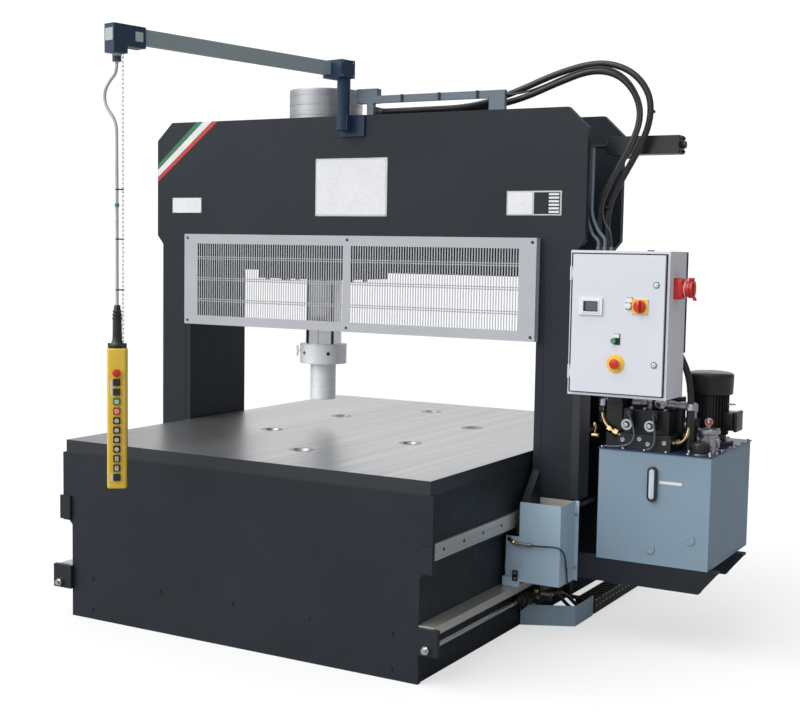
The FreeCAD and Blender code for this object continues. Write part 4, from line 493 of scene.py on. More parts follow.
def hex_head(radius, height):
    """A hexagon head or nut with its top corners turned off."""
    return capped(radius, height * 0.8, radius * 0.86, height, 6)


def dome_screw(radius, height):
    """A low round head: height falls with the square of the radius."""
    r = np.linspace(1, 0, 5)
    return turned([(0, 0)] + [(radius * k, height * (1 - k * k * 0.8)) for k in r], 16)


def socket_screw(radius, height):
    """A cap screw's head: a cylinder with an eased rim and a round socket."""
    return turned([(0, 0), (radius, 0), (radius, height * 0.8), (radius * 0.88, height), (radius * 0.5, height),
                   (radius * 0.5, height * 0.4), (0, height * 0.4)], 18)


bright_screws = planed("bright_screws", (0.62, 0.62, 0.63), (0.48, 0.48, 0.49), 0.22, (300, 300, 300))
dark_screws = planed("dark_screws", (0.035, 0.035, 0.037), (0.06, 0.06, 0.06), 0.35, (300, 300, 300))
ground_rail = planed("ground_rail", (0.74, 0.71, 0.67), (0.56, 0.54, 0.51), 0.30, (500, 2, 500), metal=0.75)
give(ground_rail, "guide_rails")
piece("rail_screws", "table", dark_screws, "blackened_steel",
      *[put(socket_screw(0.008, 0.004), (side * 1.0838, y, 0.6), (side, 0, 0))
        for side in (1, -1) for y in np.arange(-1.2, 1.3, 0.2)])
bright_rod = planed("bright_rod", (0.74, 0.74, 0.75), (0.62, 0.62, 0.63), 0.10, (600, 3, 600))
give(bright_rod, "traverse_rods")

# Portal. Front and back plates flame cut in one piece each, welded to the leg webs and ribs
# and sprayed the same blue-grey. Bare plates and a painted corner stripe are on its face.

give(blue_grey, "portal_plates", "portal_webs", "axles_and_pads")
PORTAL_FACE = -0.266
piece("leg_welds", "portal", blue_grey, "dark_paint",
      *[bead((side * 1.138, PORTAL_FACE + 0.0015, 0.70), (side * 1.138, PORTAL_FACE + 0.0015, 1.79), 0.007)
        for side in (1, -1)],
      *[bead((side * 1.1375, -0.437, 0.6435), (side * 1.1375, -0.268, 0.8305), 0.006) for side in (1, -1)],
      *[bead((side * 1.0985, PORTAL_FACE, 0.70), (side * 1.0985, PORTAL_FACE, 0.825), 0.006)
        for side in (1, -1)],
      smooth=80)


def flag(name, corners, finish):
    """A flat sticker on the portal's face: a four-sided outline 0.4 mm thick."""
    ring = np.array([(x, PORTAL_FACE, z) for x, z in corners])
    front = ring - (0, 0.0004, 0)
    grid = np.array([np.tile(ring.mean(axis=0), (4, 1)), ring, front, np.tile(front.mean(axis=0), (4, 1))])
    return piece(name, "portal", finish, "cabinet_paint", skin(grid))


stripe_green = moulded("stripe_green", (0.015, 0.16, 0.07), (0.018, 0.18, 0.08), 0.4)
stripe_white = moulded("stripe_white", (0.78, 0.79, 0.79), (0.72, 0.73, 0.74), 0.4)
stripe_red = moulded("stripe_red", (0.55, 0.03, 0.025), (0.48, 0.03, 0.025), 0.4)
STRIPE_LEFT, STRIPE_TOP = (-1.345, 2.401, 2.302), (2.642, -1.056, -0.905)
for label, paint, start, stop in (("green_stripe", stripe_green, 0.0, 0.30),
                                  ("white_stripe", stripe_white, 0.30, 0.72),
                                  ("red_stripe", stripe_red, 0.72, 1.0)):
    left = [STRIPE_LEFT[1] + k * (STRIPE_LEFT[2] - STRIPE_LEFT[1]) for k in (start, stop)]
    top = [STRIPE_TOP[1] + k * (STRIPE_TOP[2] - STRIPE_TOP[1]) for k in (start, stop)]
    flag(label, [(STRIPE_LEFT[0], left[1]), (top[1], STRIPE_TOP[0]), (top[0], STRIPE_TOP[0]),
                 (STRIPE_LEFT[0], left[0])], paint)

enamel_white = moulded("enamel_white", (0.80, 0.80, 0.81), (0.74, 0.75, 0.76), 0.28)
brushed_plate = planed("brushed_plate", (0.58, 0.58, 0.60), (0.46, 0.46, 0.48), 0.3, (8, 8, 700))


def on_face(x, z, wide, high, thick=0.0016, corner=0.002, proud=0.0):
    """A plate on the portal's face, from its middle and size."""
    return put(slab(wide, high, thick, corner), (x, PORTAL_FACE - proud, z), FRONT)


FRONT_PLATE, FRONT_SIZE = (-0.008, 2.2595), (0.454, 0.311)
piece("front_plate_rim", "portal", brushed_plate, "machined_steel",
      on_face(*FRONT_PLATE, *FRONT_SIZE, 0.002, 0.006))
piece("front_plate", "portal", enamel_white, "cabinet_paint",
      on_face(*FRONT_PLATE, FRONT_SIZE[0] - 0.018, FRONT_SIZE[1] - 0.018, 0.0012, 0.004, 0.0016))
piece("front_plate_screws", "portal", bright_screws, "machined_steel",
      *[put(dome_screw(0.006, 0.003), (FRONT_PLATE[0] + sx * 0.216, PORTAL_FACE - 0.002,
                                       FRONT_PLATE[1] + sz * 0.145),
            FRONT) for sx in (-1, 1) for sz in (-1, 1)])
piece("data_plate", "portal", brushed_plate, "machined_steel", on_face(1.0675, 2.172, 0.299, 0.122, 0.0014))
piece("data_plate_dark", "portal", blue_grey, "dark_paint",
      on_face(1.138, 2.172, 0.140, 0.108, 0.001, 0.001, 0.001))
piece("data_plate_boxes", "portal", enamel_white, "cabinet_paint",
      on_face(0.992, 2.172, 0.132, 0.108, 0.001, 0.001, 0.001),
      *[on_face(1.176, 2.216 - 0.0175 * i, 0.055, 0.011, 0.0008, 0.001, 0.0018) for i in range(6)])
piece("small_plate", "portal", enamel_white, "cabinet_paint", on_face(-1.1275, 2.165, 0.211, 0.086, 0.001))
piece("small_plate_screws", "portal", bright_screws, "machined_steel",
      *[put(dome_screw(0.004, 0.002), (x, PORTAL_FACE - 0.001, z), FRONT)
        for x in (-1.226, -1.029) for z in (2.130, 2.200)])

# Wheels. Turned steel wheels on stub axles welded to the feet, running on the lower rails.
# Their treads are worn bright and their sides keep the lathe's rings.

wheel_steel = planed("wheel_steel", (0.50, 0.50, 0.51), (0.38, 0.38, 0.39), 0.25, (60, 60, 60))
give(wheel_steel, "wheel_front_left", "wheel_front_right", "wheel_rear_left", "wheel_rear_right")

# Traverse cylinders. Honed tubes in welded clamps under the feet, sprayed black, each with a
# screwed gland at the rod's end and a brass elbow on its port.

barrel_paint = sprayed("barrel_paint", (0.013, 0.015, 0.018), (0.020, 0.022, 0.025), (0.15, 0.15, 0.16), 0.34)
give(barrel_paint, "traverse_barrels")
brass = planed("brass", (0.62, 0.47, 0.22), (0.48, 0.35, 0.15), 0.20, (240, 240, 240))


def ring(radius, wire, steps=20, sides=10):
    """A torus about Z: points at radius + wire cos s round the axis, wire sin s along it."""
    s = np.linspace(0, 2 * math.pi, sides + 1)
    return turned(np.column_stack((radius + wire * np.cos(s), wire * np.sin(s))), steps)


piece("gland_rings", "portal", dark_screws, "blackened_steel",
      *[put(ring(0.046, 0.004, 28), (side * 1.085, -0.3865, 0.176), FRONT) for side in (1, -1)],
      *[put(hex_head(0.030, 0.010), (side * 1.085, -0.385, 0.176), FRONT) for side in (1, -1)])
piece("port_nuts", "portal", brass, "machined_steel",
      put(hex_head(0.013, 0.022), (1.216, -0.286, 0.200), (0, 1, 0)),
      put(hex_head(0.013, 0.022), (1.190, -0.286, 0.196), (0, 1, 0)),
      put(hex_head(0.012, 0.018), (1.150, -0.300, 0.2095), (0, 0, 1)),
      put(hex_head(0.011, 0.024), (1.172, -0.3145, 0.196), FRONT))
piece("port_pipe", "portal", bright_screws, "machined_steel",
      put(disc(0.0075, 0.045, 0.045, 16), (1.1845, -0.3215, 0.2165), RIGHT))

# Foot covers. Folded light sheet round each foot, sprayed pale blue-grey outside and beige
# inside, bolted to the leg by a flange, with a felt wiper and a plug for the foot's sensor.
# The outside is the tank's pale blue-grey made about 1.7 times lighter, painted light that makes
# up for the table's shade on the covers.

# Painted light: the tank's paint made lighter, against the table's shade on the covers.
lit_cover_blue = sprayed("lit_cover_blue", (0.395, 0.530, 0.645), (0.415, 0.550, 0.665), (0.58, 0.64, 0.70), 0.44, 0.001,
                    wear=0.35, specular=0.15)
give(lit_cover_blue, "foot_covers")
COVER_FACE = -0.454
beige_primer = sprayed("beige_primer", (0.52, 0.47, 0.40), (0.47, 0.43, 0.37), (0.6, 0.56, 0.5), 0.5)
piece("cover_lining", "portal", beige_primer, "cover_paint",
      put(slab(0.188, 0.392, 0.001), (1.237, PORTAL_FACE - 0.0002, 0.498), FRONT),
      put(slab(0.172, 0.340, 0.001), (1.1382, -0.353, 0.469), RIGHT),
      put(slab(0.188, 0.392, 0.001), (1.237, COVER_FACE + 0.0032, 0.498), (0, 1, 0)),
      put(slab(0.182, 0.392, 0.001), (1.3318, -0.358, 0.498), (-1, 0, 0)))
piece("cover_bolts", "portal", bright_screws, "machined_steel",
      *[put(hex_head(0.009, 0.006), (1.345, -0.269, z), FRONT) for z in (0.36, 0.63)],
      put(dome_screw(0.006, 0.003), (1.129, COVER_FACE, 0.394), FRONT),
      put(dome_screw(0.005, 0.003), (1.045, -0.2125, 0.035), FRONT))
piece("wiper_plate", "portal", dark_screws, "blackened_steel",
      put(slab(0.029, 0.054, 0.004, 0.003), (1.1105, -0.478, 0.330), FRONT))
piece("wiper_plate_bolts", "portal", bright_screws, "machined_steel",
      *[put(hex_head(0.007, 0.005), (1.1105, -0.482, z), FRONT) for z in (0.316, 0.344)])
give(bright_screws, "sensor_plug")
SENSOR_WAY = (0.86, 0, -0.5)
piece("sensor_body", "portal", dark_screws, "blackened_steel",
      put(turned([(0, 0), (0.008, 0), (0.009, 0.002), (0.009, 0.03), (0.006, 0.034), (0, 0.034)], 16),
          (1.062, -0.464, 0.510), SENSOR_WAY))
piece("sensor_nuts", "portal", brass, "machined_steel",
      put(hex_head(0.0125, 0.008), (1.090, -0.465, 0.4945), SENSOR_WAY),
      put(hex_head(0.0130, 0.008), (1.104, -0.466, 0.488), RIGHT),
      put(ring(0.0105, 0.0014), (1.130, -0.466, 0.488), RIGHT))
piece("sensor_clips", "portal", dark_screws, "blackened_steel",
      put(slab(0.018, 0.010, 0.003, 0.003), (1.3445, -0.383, 0.372), RIGHT))

# Drag chain. Moulded black links in a tray beside the right foot, hung from the rear clamp,
# with a snap pin in each link.

chain_plastic = moulded("chain_plastic", (0.018, 0.018, 0.020), (0.030, 0.030, 0.032), 0.5)
give(chain_plastic, "drag_chain")
pale_pin = moulded("pale_pin", (0.62, 0.58, 0.38), (0.55, 0.50, 0.33), 0.4)
LINK_STEPS = np.arange(0.19, 1.14, 0.05)
piece("chain_pins", "portal", pale_pin, "black_plastic",
      *[put(dome_screw(0.006, 0.004), (1.287, y, 0.081)) for y in LINK_STEPS],
      *[put(dome_screw(0.006, 0.004), (1.2895, y, 0.052), RIGHT) for y in LINK_STEPS])

# Ram guard. A pan of sheet with two windows of punched slots, stiffened by welded wires and
# screwed to the portal's face at its rim.

pale_guard = sprayed("pale_guard", (0.43, 0.44, 0.472), (0.465, 0.475, 0.507), (0.72, 0.73, 0.75), 0.34, 0.0008,
                     wear=0.3)
give(pale_guard, "ram_guard")
piece("guard_screws", "portal", dark_screws, "blackened_steel",
      *[put(dome_screw(0.008, 0.004), (x, -0.311, z), FRONT) for x in (-1.085, 0.0, 1.085)
        for z in (1.503, 1.977)])

# Oil tank. Welded from sheet and sprayed pale blue-grey, with a dark lid bolted round its rim,
# standing on two beams from the portal's leg. A sight gauge and two plugs are on its front.

tank_paint = sprayed("tank_paint", (0.228, 0.312, 0.388), (0.237, 0.324, 0.402), (0.46, 0.52, 0.58), 0.46,
                     0.001, wear=0.35, specular=0.10)
tank_place = tank_paint.node_tree.nodes["Texture Coordinate"].outputs["Object"]
painted_where(tank_paint, part_of(tank_paint.node_tree, tank_place, (0, 0, 1), 0.9732, 2.0),
              (0.030, 0.045, 0.105), 0.25)
give(tank_paint, "tank")
give(blue_grey, "tank_beams")
LID_X, LID_Y, LID_TOP = (1.463, 2.003), (-0.258, 0.420), 0.979
piece("lid_bolts", "portal", bright_screws, "machined_steel",
      *[put(hex_head(0.0065, 0.006), (x, y, LID_TOP)) for x in np.linspace(*LID_X, 6) for y in LID_Y],
      *[put(hex_head(0.0065, 0.006), (x, y, LID_TOP)) for x in LID_X for y in np.linspace(*LID_Y, 7)[1:-1]])
TANK_FACE, LEVEL_X, LEVEL_Z = -0.268, 1.730, 0.823
gauge_black = moulded("gauge_black", (0.012, 0.013, 0.016), (0.02, 0.021, 0.024), 0.3)
gauge = piece("gauge_frame", "portal", gauge_black, "black_plastic",
              put(slab(0.048, 0.170, 0.018, 0.0235, 0.003, 8, 3), (LEVEL_X, TANK_FACE, LEVEL_Z), FRONT))
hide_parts("tank_fittings")
sight_glass = moulded("sight_glass", (0.62, 0.70, 0.76), (0.50, 0.58, 0.64), 0.12)
piece("gauge_glass", "portal", sight_glass, "cast_alloy",
      put(slab(0.026, 0.146, 0.006, 0.0125, 0.002, 8, 3), (LEVEL_X, TANK_FACE - 0.016, LEVEL_Z), FRONT))
piece("gauge_screws", "portal", bright_screws, "machined_steel",
      *[put(socket_screw(0.010, 0.005), (LEVEL_X, TANK_FACE - 0.0165, z), FRONT) for z in (0.764, 0.882)])
piece("blank_label", "portal", enamel_white, "cabinet_paint",
      put(slab(0.112, 0.015, 0.0006, 0.001), (1.818, TANK_FACE, 0.834), FRONT))
piece("tank_plugs", "portal", tank_paint, "cover_paint",
      *[put(turned([(0, 0), (0.025, 0), (0.025, 0.003), (0.0235, 0.0048), (0.011, 0.005), (0.010, 0.0035),
                    (0, 0.0035)], 32), (x, TANK_FACE, z), FRONT) for x, z in ((1.726, 0.503), (1.923, 0.570))])
piece("tank_feet", "portal", dark_screws, "blackened_steel",
      *[put(hex_head(0.011, 0.008), (x, y, 0.427), DOWN) for x in (1.52, 1.97) for y in (-0.24, 0.40)])

# Pump motor. A cast body with cooling fins on a flange, under a pressed fan cowl with a domed
# top, all black, with its terminal box screwed to the side.

motor_black = sprayed("motor_black", (0.007, 0.008, 0.009), (0.012, 0.013, 0.014), (0.08, 0.08, 0.085), 0.33)
MOTOR = MOTOR_X, MOTOR_Y = 1.858, 0.200
fin_turn = np.radians(np.arange(0, 360, 10))
motor_body = piece("motor_body", "portal", motor_black, "motor_paint",
                   put(turned([(0, 0.979), (0.125, 0.979), (0.125, 1.000), (0.112, 1.002), (0.090, 1.010),
                               (0.086, 1.030), (0.086, 1.225), (0.098, 1.232), (0.098, 1.238), (0, 1.238)], 48),
                       (MOTOR_X, MOTOR_Y, 0)),
                   *[put(slab(0.0045, 0.200, 0.014, 0.001, 0.001, 1), on_circle(MOTOR, 0.084, t, 1.128),
                         (math.cos(t), math.sin(t), 0)) for t in fin_turn])
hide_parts("motor")
give(motor_black, "motor_rotor")
cowl_round = np.radians(np.linspace(0, 80, 7))
piece("motor_cowl", "portal", motor_black, "motor_paint",
      put(turned([(0.100, 1.232), (0.1135, 1.232), (0.1150, 1.240), (0.1172, 1.318)]
                 + [(0.0995 + 0.018 * math.cos(t), 1.322 + 0.018 * math.sin(t)) for t in cowl_round]
                 + [(0.085, 1.343), (0.040, 1.345), (0, 1.345)]
                 + [(0, 1.335), (0.100, 1.318), (0.100, 1.232)], 64), (MOTOR_X, MOTOR_Y, 0)))
piece("terminal_box", "portal", motor_black, "motor_paint",
      put(slab(0.108, 0.092, 0.050, 0.008, 0.004, 4, 3), (MOTOR_X + 0.086, MOTOR_Y, 1.1005), RIGHT),
      put(slab(0.119, 0.102, 0.018, 0.010, 0.005, 4, 3), (MOTOR_X + 0.139, MOTOR_Y, 1.1005), RIGHT))
piece("motor_bolts", "portal", bright_screws, "machined_steel",
      *[put(hex_head(0.009, 0.008), on_circle(MOTOR, 0.113, t, 1.000))
        for t in np.radians((45, 135, 225, 315))],
      put(disc(0.004, 0.040, 0.040, 12), (MOTOR_X + 0.098, MOTOR_Y - 0.02, 1.186), RIGHT),
      put(hex_head(0.007, 0.009), (MOTOR_X + 0.112, MOTOR_Y - 0.02, 1.186), RIGHT),
      *[put(dome_screw(0.004, 0.003), (MOTOR_X + 0.157, MOTOR_Y + y, z), RIGHT)
        for y in (-0.05, 0.05) for z in (1.060, 1.141)])

# Valve block. Blackened steel blocks bolted together, with two coils, their rings and leads,
# cast cartridge valves, a pressure gauge, brass elbows for the two hoses and a small tap.


def pipe(points, thick, side, steps=28, sides=12):
    """A round tube along the Bezier curve of its points: each ring is r(cos s side + sin s up)."""
    points = np.array(points, float)
    t = np.linspace(0, 1, steps)[:, None]
    n = len(points) - 1
    share = [math.comb(n, i) * t ** i * (1 - t) ** (n - i) for i in range(n + 1)]
    line = sum(w * p for w, p in zip(share, points))
    ahead_of = np.gradient(line, axis=0)
    ahead_of /= np.linalg.norm(ahead_of, axis=1)[:, None]
    up = np.cross(ahead_of, np.array(side, float))
    up /= np.linalg.norm(up, axis=1)[:, None]
    across = np.cross(up, ahead_of)
    s = np.linspace(0, 2 * math.pi, sides, endpoint=False)[None, :, None]
    rings = line[:, None] + thick / 2 * (np.cos(s) * across[:, None] + np.sin(s) * up[:, None])
    first, last = np.tile(line[0], (1, sides, 1)), np.tile(line[-1], (1, sides, 1))
    return skin(np.concatenate((first, rings, last)))


block_black = sprayed("block_black", (0.012, 0.014, 0.017), (0.022, 0.025, 0.030), (0.2, 0.2, 0.2), 0.34)
give(block_black, "valve_block")
COIL_FACE, COIL_Z, COILS, SOCKETS = -0.250, 1.099, (1.583, 1.700), (1.588, 1.714)
coil_ring = planed("coil_ring", (0.70, 0.72, 0.76), (0.60, 0.62, 0.66), 0.26, (200, 200, 200))
piece("coil_rings", "portal", coil_ring, "cast_alloy",
      *[put(sleeve(0.0165, 0.0275, 0, 0.004, 32), (x, COIL_FACE, COIL_Z), FRONT) for x in COILS],
      *[put(turned([(0, 0), (0.0135, 0), (0.0135, 0.012), (0.010, 0.0165), (0.004, 0.017), (0, 0.014)], 18),
            (x, COIL_FACE, COIL_Z), FRONT) for x in COILS])
lead_grey = moulded("lead_grey", (0.085, 0.115, 0.150), (0.10, 0.135, 0.17), 0.32)
piece("coil_leads", "portal", lead_grey, "grey_sheath",
      pipe([(1.590, -0.236, 1.150), (1.585, -0.252, 1.176), (1.600, -0.262, 1.120), (1.640, -0.264, 1.090),
            (1.652, -0.262, 1.010), (1.625, -0.262, 0.992), (1.560, -0.262, 0.987), (1.475, -0.262, 0.9855)],
           0.009, (0, 1, 0), 48),
      pipe([(1.716, -0.236, 1.150), (1.705, -0.252, 1.180), (1.722, -0.262, 1.110), (1.742, -0.264, 1.060),
            (1.738, -0.262, 1.000), (1.716, -0.262, 0.987), (1.690, -0.262, 0.9855)], 0.009, (0, 1, 0), 40))
piece("coil_sockets", "portal", gauge_black, "black_plastic",
      *[put(slab(0.030, 0.030, 0.040, 0.004, 0.003, 3, 2), (x, -0.222, 1.124)) for x in SOCKETS],
      *[put(hex_head(0.009, 0.010), (x, -0.228, 1.163)) for x in SOCKETS])
piece("block_plugs", "portal", bright_screws, "machined_steel",
      *[put(socket_screw(0.012, 0.006), (x, -0.235, z), FRONT)
        for x, z in ((1.560, 1.020), (1.645, 1.030), (1.688, 1.008), (1.770, 1.020))],
      *[put(hex_head(0.011, 0.008), (x, -0.155, 1.169)) for x in (1.575, 1.640, 1.745)],
      *[put(hex_head(0.010, 0.010), (1.800, y, 1.020), RIGHT) for y in (-0.19, -0.12)])
sand_cast = planed("sand_cast", (0.50, 0.50, 0.52), (0.38, 0.38, 0.40), 0.34, (160, 160, 160))
piece("valve_riser", "portal", block_black, "blackened_steel",
      put(slab(0.290, 0.050, 0.250, 0.002, 0.002), (1.655, -0.030, LID_TOP)),
      put(slab(0.074, 0.076, 0.060, 0.002, 0.002), (1.490, -0.130, 1.188)),
      put(slab(0.070, 0.060, 0.150, 0.002, 0.002), (1.842, -0.040, LID_TOP)))
piece("cartridge_valves", "portal", sand_cast, "cast_alloy",
      *[put(turned([(0, 0), (0.017, 0), (0.017, 0.012), (0.021, 0.014), (0.021, 0.044), (0.016, 0.048),
                    (0.016, 0.070), (0.012, 0.074), (0, 0.074)], 20), (x, -0.132, 1.196), (way, 0, 0))
        for x, way in ((1.572, 1), (1.800, -1), (1.800, 1))],
      *[put(turned([(0, 0), (0.018, 0), (0.018, 0.030), (0.024, 0.034), (0.024, 0.070), (0.014, 0.078),
                    (0, 0.078)], 20),
            (x, y, z)) for x, y, z in ((1.655, -0.110, 1.169), (1.850, -0.045, 1.128), (1.600, -0.035, 1.165))],
      *[put(turned([(0, 0), (0.020, 0), (0.022, 0.004), (0.022, 0.040), (0.012, 0.046), (0, 0.046)], 20),
            (1.842, -0.070, z), (0, -1, 0)) for z in (1.040, 1.100)])
piece("coil_caps", "portal", gauge_black, "black_plastic",
      *[put(slab(0.040, 0.044, 0.036, 0.006, 0.004, 3, 2), (x, -0.125, 1.172)) for x in (1.700, 1.765)],
      put(capped(0.019, 0.050, 0.015, 0.054, 20), (1.420, -0.150, 1.205)))
DIAL_X, GAUGE_FACE, DIAL_Z = 1.718, -0.145, 1.206
piece("pressure_dial", "portal", enamel_white, "cast_alloy",
      put(disc(0.027, 0.0015, 0.002, 32), (DIAL_X, GAUGE_FACE, DIAL_Z), FRONT))
piece("dial_rim", "portal", bright_screws, "machined_steel",
      put(ring(0.0285, 0.002, 32), (DIAL_X, GAUGE_FACE - 0.001, DIAL_Z), FRONT))
piece("dial_needle", "portal", stripe_red, "red_plastic",
      put(slab(0.0022, 0.018, 0.001), (1.7235, GAUGE_FACE - 0.002, 1.2105), (0, -1, 0), (0.7, 0, 0.7)),
      put(slab(0.014, 0.004, 0.0006), (DIAL_X, GAUGE_FACE - 0.002, 1.192), FRONT))
piece("hose_elbows", "portal", brass, "machined_steel",
      pipe([(1.420, -0.150, 1.168), (1.420, -0.160, 1.110), (1.440, -0.176, 1.080), (1.490, -0.200, 1.050),
            (1.548, -0.225, 1.040)], 0.026, (0.5, 0.86, 0)),
      put(hex_head(0.020, 0.022), (1.470, -0.189, 1.064), (0.86, -0.36, -0.36)),
      put(hex_head(0.023, 0.024), (1.512, -0.208, 1.050), (0.88, -0.4, -0.22)),
      put(hex_head(0.021, 0.016), (1.420, -0.150, 1.150)),
      pipe([(1.868, -0.150, 1.180), (1.870, -0.156, 1.090), (1.868, -0.170, 1.030), (1.840, -0.190, 1.016),
            (1.800, -0.200, 1.018)], 0.020, (0, 1, 0.1)),
      put(hex_head(0.016, 0.020), (1.826, -0.1925, 1.018), (-1, 0, 0)),
      pipe([(1.398, -0.196, 1.020), (1.398, -0.196, 1.050), (1.408, -0.196, 1.066), (1.398, -0.196, 1.085)],
           0.012, (0, 1, 0)),
      put(hex_head(0.010, 0.036), (1.384, -0.196, 1.024), RIGHT),
      put(hex_head(0.009, 0.018), (1.398, -0.196, 1.070)))
piece("hose_collars", "portal", coil_ring, "cast_alloy",
      put(capped(0.023, 0.034, 0.018, 0.038, 24), (1.420, -0.150, 1.172)),
      put(capped(0.019, 0.030, 0.0165, 0.034, 24), (1.868, -0.150, 1.176)))

# Filter and breather. A cast alloy return filter bolted to the lid, with a clogging dial on a
# short stem, and a ribbed black breather cap on the filler neck.

FILTER, BREATHER = (1.935, -0.060), (1.940, -0.205)
piece("filter_head", "portal", sand_cast, "cast_alloy",
      put(turned([(0, 0.979), (0.054, 0.979), (0.054, 0.985), (0.046, 0.990), (0.043, 1.030), (0.045, 1.058),
                  (0.056, 1.064), (0.056, 1.078), (0.050, 1.084), (0.020, 1.086), (0, 1.086)], 40),
          (*FILTER, 0)),
      *[put(slab(0.016, 0.045, 0.018, 0.004, 0.002, 3, 2), on_circle(FILTER, 0.038, t, 1.020),
            (math.cos(t), math.sin(t), 0)) for t in np.radians((200, 250, 300, 350, 40))],
      put(turned([(0, 1.084), (0.007, 1.084), (0.007, 1.104), (0, 1.104)], 12), (*FILTER, 0)))
piece("filter_bolts", "portal", bright_screws, "machined_steel",
      *[put(socket_screw(0.0075, 0.008), on_circle(FILTER, 0.047, t, 1.080))
        for t in np.radians((30, 120, 210, 300))],
      *[put(hex_head(0.008, 0.007), on_circle(FILTER, 0.066, t, LID_TOP))
        for t in np.radians((10, 100, 190, 280))],
      put(ring(0.018, 0.0022, 28), (FILTER[0], FILTER[1] - 0.010, 1.119), FRONT))
piece("filter_dial", "portal", stripe_red, "red_plastic",
      put(disc(0.018, 0.020, 0.0205, 28), (FILTER[0], FILTER[1] + 0.010, 1.119), FRONT))
piece("filter_dial_face", "portal", enamel_white, "cabinet_paint",
      put(disc(0.0062, 0.0008, 0.001, 20), (FILTER[0], FILTER[1] - 0.0105, 1.119), FRONT),
      put(slab(0.010, 0.012, 0.0006), (FILTER[0], FILTER[1] - 0.0105, 1.1275), FRONT))
piece("breather", "portal", gauge_black, "black_plastic",
      put(turned([(0, 0.979), (0.036, 0.979), (0.036, 0.985), (0.040, 0.988), (0.040, 1.026), (0.037, 1.034),
                  (0.030, 1.038), (0, 1.040)], 36), (*BREATHER, 0)),
      *[put(slab(0.004, 0.040, 0.006, 0.001, 0.001, 1), on_circle(BREATHER, 0.0375, t, 1.008),
            (math.cos(t), math.sin(t), 0)) for t in np.radians(np.arange(0, 360, 18))])
piece("filler_neck", "portal", bright_screws, "machined_steel",
      put(turned([(0, 0.979), (0.041, 0.979), (0.041, 0.983), (0, 0.983)], 36), (*BREATHER, 0)),
      *[put(hex_head(0.007, 0.014), (BREATHER[0] + dx, BREATHER[1] + dy, LID_TOP))
        for dx, dy in ((-0.056, 0.0), (0.052, -0.022), (0.05, 0.035))])

# Electrical cabinet. A folded steel box, powder coated off-white, with a door on two hinges and a
# black ring just behind the door's edge as its painted shadow line. The controls go through the door,
# and a red inlet is on its side.


def border(wide, high, bar, thick):
    """Four bars round a rectangle, their outer edges on its sides."""
    return [put(slab(wide, bar, thick), (0, s * (high - bar) / 2, 0)) for s in (-1, 1)] + [
        put(slab(bar, high - 2 * bar, thick), (s * (wide - bar) / 2, 0, 0)) for s in (-1, 1)]


powder_white = sprayed("powder_white", (0.670, 0.685, 0.735), (0.695, 0.710, 0.760), (0.82, 0.83, 0.85), 0.48,
                       0.0012, wear=0.3, specular=0.15)
give(powder_white, "cabinet_body", "cabinet_door")
DOOR_X, DOOR_Z, DOOR_FACE = 1.5905, 1.596, -0.454
DISPLAY, SWITCH, START, STOP = (1.4595, 1.677), (1.702, 1.684), (1.580, 1.518), (1.590, 1.410)
# A black ring just behind the door's edge: painted shadow line round the door.
piece("door_shadow_ring", "portal", gauge_black, "black_plastic",
      *[put(bar, (DOOR_X - 0.003, -0.4381, DOOR_Z), FRONT) for bar in border(0.4745, 0.668, 0.012, 0.0025)])
piece("cabinet_back_plate", "portal", gauge_black, "black_plastic",
      put(slab(0.060, 0.480, 0.006), (1.812, -0.1915, 1.700), (0, 1, 0)),
      put(slab(0.030, 0.014, 0.005, 0.002), (1.735, -0.420, 1.942)))


def on_door(shape, x, z, proud=0.0):
    """A shape on the door's face, looking outward."""
    return put(shape, (x, DOOR_FACE - proud, z), FRONT)


piece("display_bezel", "door", enamel_white, "cabinet_paint",
      on_door(slab(0.117, 0.082, 0.0015, 0.003), *DISPLAY, 0.006),
      *[on_door(bar, *DISPLAY, 0.0070) for bar in border(0.086, 0.062, 0.006, 0.003)])
piece("display_frame", "door", gauge_black, "black_plastic",
      on_door(slab(0.072, 0.048, 0.0012), *DISPLAY, 0.0070))
screen_grey = moulded("screen_grey", (0.085, 0.115, 0.120), (0.105, 0.135, 0.138), 0.10)
piece("display_screen", "door", screen_grey, "black_plastic",
      on_door(slab(0.058, 0.042, 0.0008), 1.4635, 1.677, 0.0080))
plate_yellow = moulded("plate_yellow", (0.86, 0.56, 0.06), (0.80, 0.51, 0.05), 0.34)
piece("switch_plate", "door", plate_yellow, "yellow_plastic",
      on_door(slab(0.080, 0.070, 0.0012, 0.003), 1.702, 1.683, 0.004))
red_shell = moulded("red_shell", (0.62, 0.028, 0.022), (0.54, 0.022, 0.018), 0.30)
knob = piece("switch_knob", "main_switch", red_shell, "red_plastic",
             on_door(turned([(0, 0), (0.0295, 0), (0.0295, 0.008), (0.027, 0.011), (0.020, 0.012), (0, 0.012)],
                            36), *SWITCH, 0.0055),
             on_door(slab(0.013, 0.056, 0.017, 0.005, 0.003, 4, 3), *SWITCH, 0.0165),
             on_door(disc(0.0075, 0.018, 0.018, 16), *SWITCH, -0.012))
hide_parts("main_switch")
piece("switch_pointer", "main_switch", plate_yellow, "yellow_plastic",
      on_door(slab(0.005, 0.016, 0.001), 1.702, 1.702, 0.0335),
      on_door(slab(0.012, 0.006, 0.001), 1.702, 1.7065, 0.0175))
piece("legend_holders", "door", gauge_black, "black_plastic",
      on_door(slab(0.032, 0.056, 0.003, 0.002), 1.650, 1.6965),
      on_door(slab(0.032, 0.052, 0.003, 0.002), 1.594, 1.5265))
piece("legends", "door", enamel_white, "cabinet_paint",
      on_door(slab(0.030, 0.022, 0.0035, 0.002), 1.6475, 1.7120),
      on_door(slab(0.030, 0.018, 0.0035, 0.002), 1.5915, 1.5415),
      on_door(turned([(0, 0), (0.0145, 0), (0.0145, 0.008), (0.012, 0.011), (0, 0.012)], 28), 1.6475, 1.6845,
              0.002))
green_cap = moulded("green_cap", (0.02, 0.26, 0.09), (0.02, 0.22, 0.08), 0.30)
